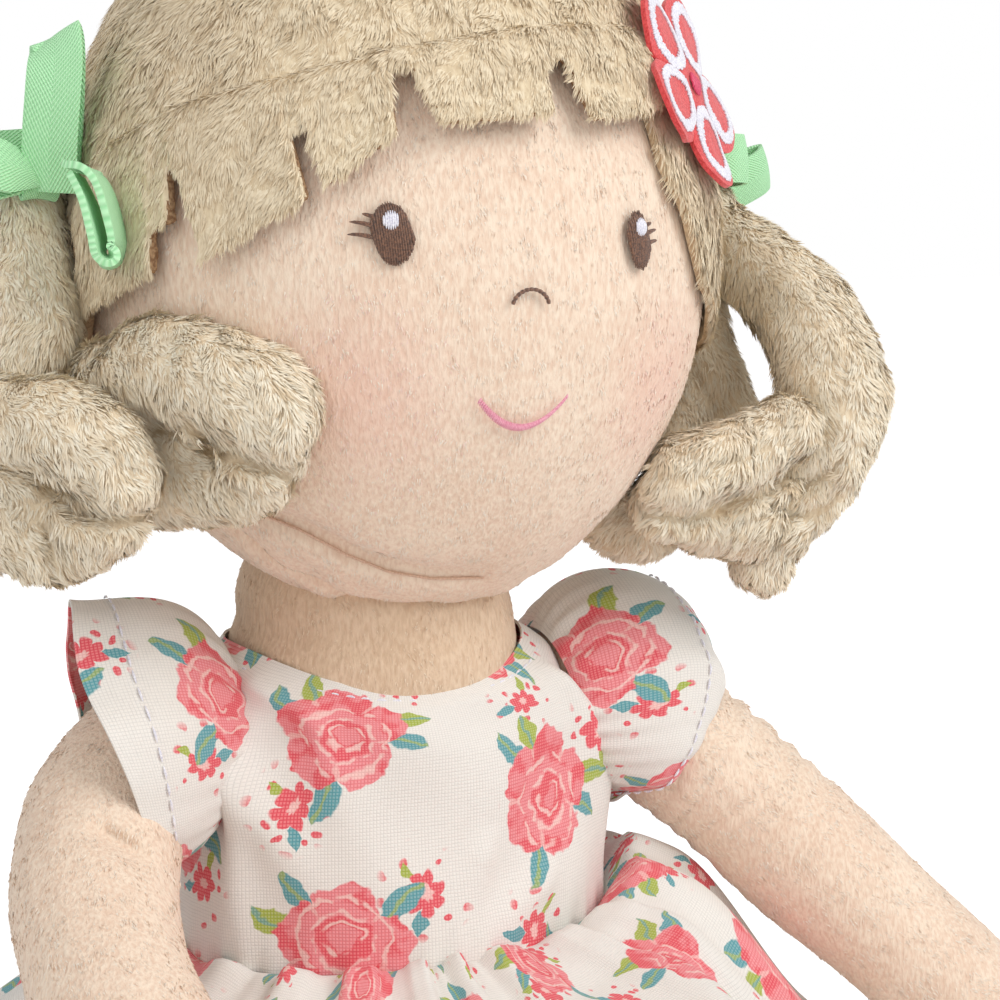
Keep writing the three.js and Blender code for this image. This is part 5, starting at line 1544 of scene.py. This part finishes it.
# %% Bodice
BODY_HIGH, BODY_HALF_X, BODY_HALF_Y = 101, 44.6, 31.6
NECK_HALF_X, NECK_HALF_Y = 33.4, 31.4
WAIST, YOKE = 46.0, 0.88 * BODY_HIGH
YOKE_FROM, ARMHOLE_RADIUS = 0.66, 16.1
CLOTH = 0.8
BODY_SHARES = np.array([[0, 0.8, 0.8], [0.06, 0.93, 0.92], [0.2, 1, 1], [0.62, 0.985, 0.96],
                        [0.77, 0.96, 0.93], [0.88, 0.91, 0.92], [0.94, 0.85, 0.925], [1, 0.72, 0.935]])
# Each fold from the armholes on the front: its foot, its lean, its depth and its reach.
FRONT_FOLDS = [((-51, 98), -0.97, 5.0, 36), ((-48, 106), -0.39, 3.6, 26), ((-41, 90), -1.57, 4.0, 40),
               ((-30, 103), -1.2, 2.6, 30), ((48, 94), -1.6, 4.4, 38), ((34, 104), -1.3, 3.2, 34),
               ((24, 62), -2.6, 2.4, 22), ((8, 72), -1.9, 2.0, 26)]
# Each fold on both sides: its lean and its depth.
SIDE_FOLDS = [(-2.25, 2.6), (-2.8, 1.9), (-1.85, 1.9), (2.9, 1.2)]


def body_point(angle, height, grow):
    wide, deep = (np.interp(np.asarray(height) / BODY_HIGH, BODY_SHARES[:, 0], shares)
                  for shares in BODY_SHARES.T[1:])
    x = (BODY_HALF_X * wide + grow) * np.sin(angle)
    y = -(BODY_HALF_Y * deep + grow) * np.cos(angle)
    return np.stack(np.broadcast_arrays(x, y, height), -1)


def neckline(angle, inset):
    turn = np.cos(angle)
    middle = np.where(turn > 0, -0.8, 4.5)
    high = BODY_HIGH + 7.0 + (middle - 7.0) * turn**2
    ring = [(NECK_HALF_X - inset) * np.sin(angle), -(NECK_HALF_Y - inset) * np.cos(angle), high]
    return np.stack(ring, -1) + NECK_PLACE


def yoke_point(angle, rise, grow):
    swell = np.sin(rise * np.pi) * 0.2 * (BODY_HALF_X - NECK_HALF_X)
    start, end = body_point(angle, YOKE, grow), neckline(angle, 3.4 - grow)
    bulge = np.stack([swell * np.sin(angle), 0 * angle, swell / 2 + 0 * angle], -1)
    return start + (end - start) * rise[..., None] + bulge


def soft_fold(x, z, foot, lean, width, depth, reach):
    """One soft fold on a flat pattern, that starts at a foot and fades as it runs along its lean."""
    dx, dz = x - foot[0], z - foot[1]
    along = dx * math.cos(lean) + dz * math.sin(lean)
    across = -dx * math.sin(lean) + dz * math.cos(lean)
    fade = np.clip(along / 6, 0, 1) * np.exp(-(np.maximum(along, 0) / reach) ** 2)
    spread = width * (1 + np.maximum(along, 0) / reach)
    return depth * fade * np.exp(-((across / spread) ** 2))


def turned_from_front(angle):
    return (angle + np.pi) % (2 * np.pi) - np.pi


def bodice_place(u, v):
    angle = 2 * np.pi * u + np.pi
    low = np.clip(v / YOKE_FROM, 0, 1)
    rise = np.clip((v - YOKE_FROM) / (1 - YOKE_FROM), 0, 1)
    lower = body_point(angle, WAIST - 1.6 + (YOKE - WAIST + 1.6) * low, 1.0)
    on = np.where((v < YOKE_FROM)[:, None], lower, yoke_point(angle, rise, 1.0))
    across, up = turned_from_front(angle) * 39.7, WAIST + v * 62
    lift = 1.0 + 1.2 * waves(np.stack([across, up, 0 * up], 1), 26, 141)
    for foot, lean, depth, reach in FRONT_FOLDS:
        lift += soft_fold(across, up, foot, lean, 2.6, depth, reach)
    for sign in (-1, 1):
        for lean, depth in SIDE_FOLDS:
            lean = lean if sign > 0 else np.pi - lean
            lift += soft_fold(across, up, (sign * 47, 92), lean, 3.2, depth, 26)
    gathers = 0.6 * np.cos(across * 2 * np.pi / 6.3 + 2 * np.sin(across / 7)) * np.exp(-(up - WAIST) / 5)
    lift = (lift + gathers) * np.clip((1.02 - v) * 8, 0, 1)
    return on + np.stack([np.sin(angle), -np.cos(angle), 0 * angle], -1) * np.maximum(lift, -0.1)[:, None]


bodice = grid("dress_bodice_cloth", 230, 66, bodice_place, 250, 64, loop=True)
places = points_of(bodice)
holes = [np.linalg.norm(places - centre, axis=1) < ARMHOLE_RADIUS for centre in SHOULDER.values()]
delete_points(bodice, np.any(holes, axis=0))
thickened(bodice, 0.5)
finished(bodice, "torso", "printed_cotton", ["dress_bodice"], cotton)

lines = []
for a in np.linspace(0, 2 * np.pi, 70, endpoint=False):
    t = a + np.linspace(0, 0.066, 4)
    lines.append(yoke_point(t, 0 * t + 0.8, 1.4) + np.outer((0, 1, 1, 0), (0, 0, 0.25)))
threads("neckline_topstitch", lines, 0.24, "torso", "white_thread", white_thread)

# %% [markdown]
# The skirt is a long strip gathered to the waist. The gathers stand up in a small frill at the seam
# and open into deep soft folds that fall over the thighs and out to the hem.

# %% Skirt
HEM_RADIUS, HEM_HEIGHT = 108, 4.5
COARSE_GATHERS, FINE_GATHERS = 22, 50
LAP_TOP, LAP_OUT = 2 * LEG_RADIUS + 2 * CLOTH + 2.4, HIP_X + LEG_RADIUS


def smoothstep(value, low, high):
    t = np.clip((value - low) / (high - low), 0, 1)
    return t * t * (3 - 2 * t)


def skirt_place(u, v):
    angle = 2 * np.pi * u + np.pi
    waist_radius = np.linalg.norm(body_point(angle, WAIST, 1.25)[:, :2], axis=1)
    seam_wave = np.sin(angle * 5 + 1.3) + 0.7 * np.sin(angle * 8 + 0.4)
    coarse = np.tanh(1.8 * np.cos(COARSE_GATHERS * angle + 0.9 * seam_wave))
    fine = np.cos(FINE_GATHERS * angle + 1.7 * seam_wave)
    start = np.minimum(v * 22, 1)
    wave = (1.0 + 1.6 * np.sqrt(v)) * coarse + 0.7 * fine * np.exp(-v * 6)
    radius = waist_radius + (HEM_RADIUS - waist_radius) * v + 0.5 * wave * start
    x, y = radius * np.sin(angle), -radius * np.cos(angle)
    top = WAIST + 0.2
    fall = top - (top - HEM_HEIGHT) * v**1.5
    over = 1 - smoothstep(np.abs(x), 0.95 * LAP_OUT, 1.35 * LAP_OUT)
    over *= smoothstep(-y, -0.3 * HIP_Y, BODY_HALF_Y)
    lap = 0.1 * np.maximum(-y - BODY_HALF_Y, 0)
    high = np.maximum(fall, fall + (LAP_TOP - lap - fall) * over)
    frill = 2.6 * np.exp(-(((v - 0.05) / 0.045) ** 2)) * (0.7 + 0.3 * coarse)
    hip = np.exp(-(((turned_from_front(angle) - math.radians(78)) / math.radians(36)) ** 2))
    puff = 15.0 * hip * smoothstep(v, 0.0, 0.16) * (1 - smoothstep(v, 0.3, 0.8))
    z = np.minimum(high, top) + 0.7 * wave * start + frill * np.minimum(v * 40, 1) + puff
    return np.stack([x, y, z], 1)


skirt = grid("dress_skirt_cloth", 600, 40, skirt_place, 660, 84, loop=True)
thickened(skirt, 0.5)
finished(skirt, "torso", "printed_cotton", ["dress_skirt"], cotton)

# %% [markdown]
# The sleeves are short flutter caps, gathered at the armhole and hemmed with a row of topstitch.
# They are sewn to the bodice at their inner edge, and are attached to no body. Each
# is a surface through four rings: the armhole, two rings of the puff, and the hem. A ring is given
# by eight places, from the top forward and round under the arm.

# %% Sleeves
RINGS = {
    "right": [[(42, -1, 114.5), (42, -15, 105), (42, -21, 89.5), (43.5, -16, 75), (45, -2, 71),
               (43.5, 13, 75), (42, 20, 89.5), (42, 13.5, 105)],
              [(55, -4, 119), (55, -19, 109), (53, -27, 90), (51, -22, 73.5), (49, -5, 69),
               (49, 12, 73), (52, 19, 89), (55, 12, 107)],
              [(69, -8, 120), (71.5, -21, 109), (66, -31, 91), (59.5, -26, 73), (54, -10, 67),
               (56, 8, 72), (60, 14, 88), (66, 7, 107)]],
    "left": [[(42, -1, 114), (42, -15, 104.5), (42, -21, 89.5), (43.5, -16, 76), (45, -2, 72),
              (43.5, 13, 75), (42, 20, 89.5), (42, 13.5, 105)],
             [(57, -2, 115.5), (59, -16, 107), (58, -23, 91), (53, -22, 76), (49, -8, 69.5),
              (49, 10, 71), (56, 19, 88), (57, 12, 106)],
             [(70, -2, 108), (72.5, -12, 99), (69, -20, 87.5), (59.5, -21, 76.5), (51.5, -13, 69.5),
              (51, 2, 67), (62, 15, 79), (69, 8, 97)]],
}
RING_SHARES = (0.0, 0.24, 0.6, 1.0)
HEM_STITCHES = 46


def round_ring(points, turn):
    """A smooth closed curve through points, at shares of a whole turn."""
    points = np.asarray(points, float)
    at = np.asarray(turn) % 1 * len(points)
    low = at.astype(int)
    near = (points[(low + k) % len(points)] for k in (-1, 0, 1, 2))
    return between(*near, (at - low)[..., None])


def armhole(turn):
    """The seam on the bodice, given outward from the middle of the body."""
    angle = math.pi / 2 - 2 * math.pi * turn
    y, z = -16.5 * np.cos(angle), 89 + 16 * np.sin(angle)
    wide = np.interp(z, [73, 88.9, 97, 105], [44.8, 41.9, 40.4, 34.6])
    return np.stack([wide * np.sqrt(1 - (y / 30.6) ** 2), y, z], -1)


def sleeve_point(name, turn, along, grow=0.0):
    rings = [armhole(turn)] + [round_ring(ring, turn) for ring in RINGS[name]]
    on = 0
    for i, ring in enumerate(rings):
        others = [s for k, s in enumerate(RING_SHARES) if k != i]
        weight = np.prod([(along - s) / (RING_SHARES[i] - s) for s in others], axis=0)
        on = on + ring * np.asarray(weight)[..., None]
    middle = np.mean([round_ring(ring, np.linspace(0, 1, 17)[:-1]).mean(0) for ring in RINGS[name]], axis=0)
    out = unit((on - middle) * (0.35, 1, 1))
    angle = 2 * np.pi * turn
    wave = np.cos(5 * angle) + 0.5 * np.cos(9 * angle + 1.2) + 0.35 * np.cos(14 * angle + 2)
    gather = 0.9 * np.cos(26 * angle + 2 * np.sin(3 * angle))
    gather = gather * np.exp(-along * 5) * np.minimum(along * 10, 1)
    on = on + out * (0.7 * along * wave + gather + grow)[..., None]
    return on * (SIDE[name], 1, 1)


for name, side in SIDE.items():
    sleeve = grid(f"sleeve_{name}_cloth", 180, 32,
                  lambda u, v, n=name: sleeve_point(n, u + 0.5, v), 160, 34, loop=True)
    thickened(sleeve, 0.5)
    finished(sleeve, None, "printed_cotton", [f"sleeve_{name}"], cotton)
    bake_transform(sleeve)
    lines = []
    for start in np.arange(0, 1, 1 / HEM_STITCHES):
        turn = start + np.linspace(0, 0.0165, 4)
        lines.append(sleeve_point(name, turn, 0 * turn + 0.76, 0.3 + 0.15 * np.array((0, 1, 1, 0))))
    stitch = threads(f"sleeve_{name}_topstitch", lines, 0.27, None, "white_thread", white_thread)
    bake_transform(stitch)

# %% [markdown]
# The dress opens at the back, under a narrow flap. Two tapes hold it: one with loops on the bodice
# and one with hooks under the flap. All three follow the back of the body, one over another.

# %% Back closure
STRIP_LOW, STRIP_HIGH = 52, 90 - CLOTH
STRIP_HALF = 6 / BODY_HALF_Y


def strip_place(layer):
    off = (layer + 1) * (CLOTH + CLEAR) + CLEAR + 0.1

    def place(u, v):
        angle = np.pi + STRIP_HALF * (2 * u - 1)
        return body_point(angle, STRIP_LOW + (STRIP_HIGH - STRIP_LOW) * v, off)

    return place


def loop_tape(name, size):
    finish = Finish(name, 0.9, Sheen_Weight=0.3)
    nubs = finish.add("TexVoronoi", finish.place(), None, 1 / size)
    return finish.done(finish.mottled(nubs, 0.1, 0.6, (250, 250, 250), (205, 205, 208)), nubs, 0.3, 0.8)


STRIPS = [("closure_loop_tape", "white_tape", loop_tape("loop_tape", 0.5)),
          ("closure_hook_tape", "white_tape", loop_tape("hook_tape", 0.9)),
          ("closure_flap", "printed_cotton", cotton)]
for layer, (node, slot, material) in enumerate(STRIPS):
    strip = grid(f"{node}_cloth", 12, 36, strip_place(layer), 12, 38)
    thickened(strip, 0.6, 1, 50)
    finished(strip, "torso", slot, [node], material)

# %% Finish
visual_box = [list(corner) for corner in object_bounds()]
grown = [[round((v - c) * 1000, 1) for v, c in zip(vs, cs)] for vs, cs in zip(visual_box, cad_box)]
print("beyond the frame's box, mm:", grown)
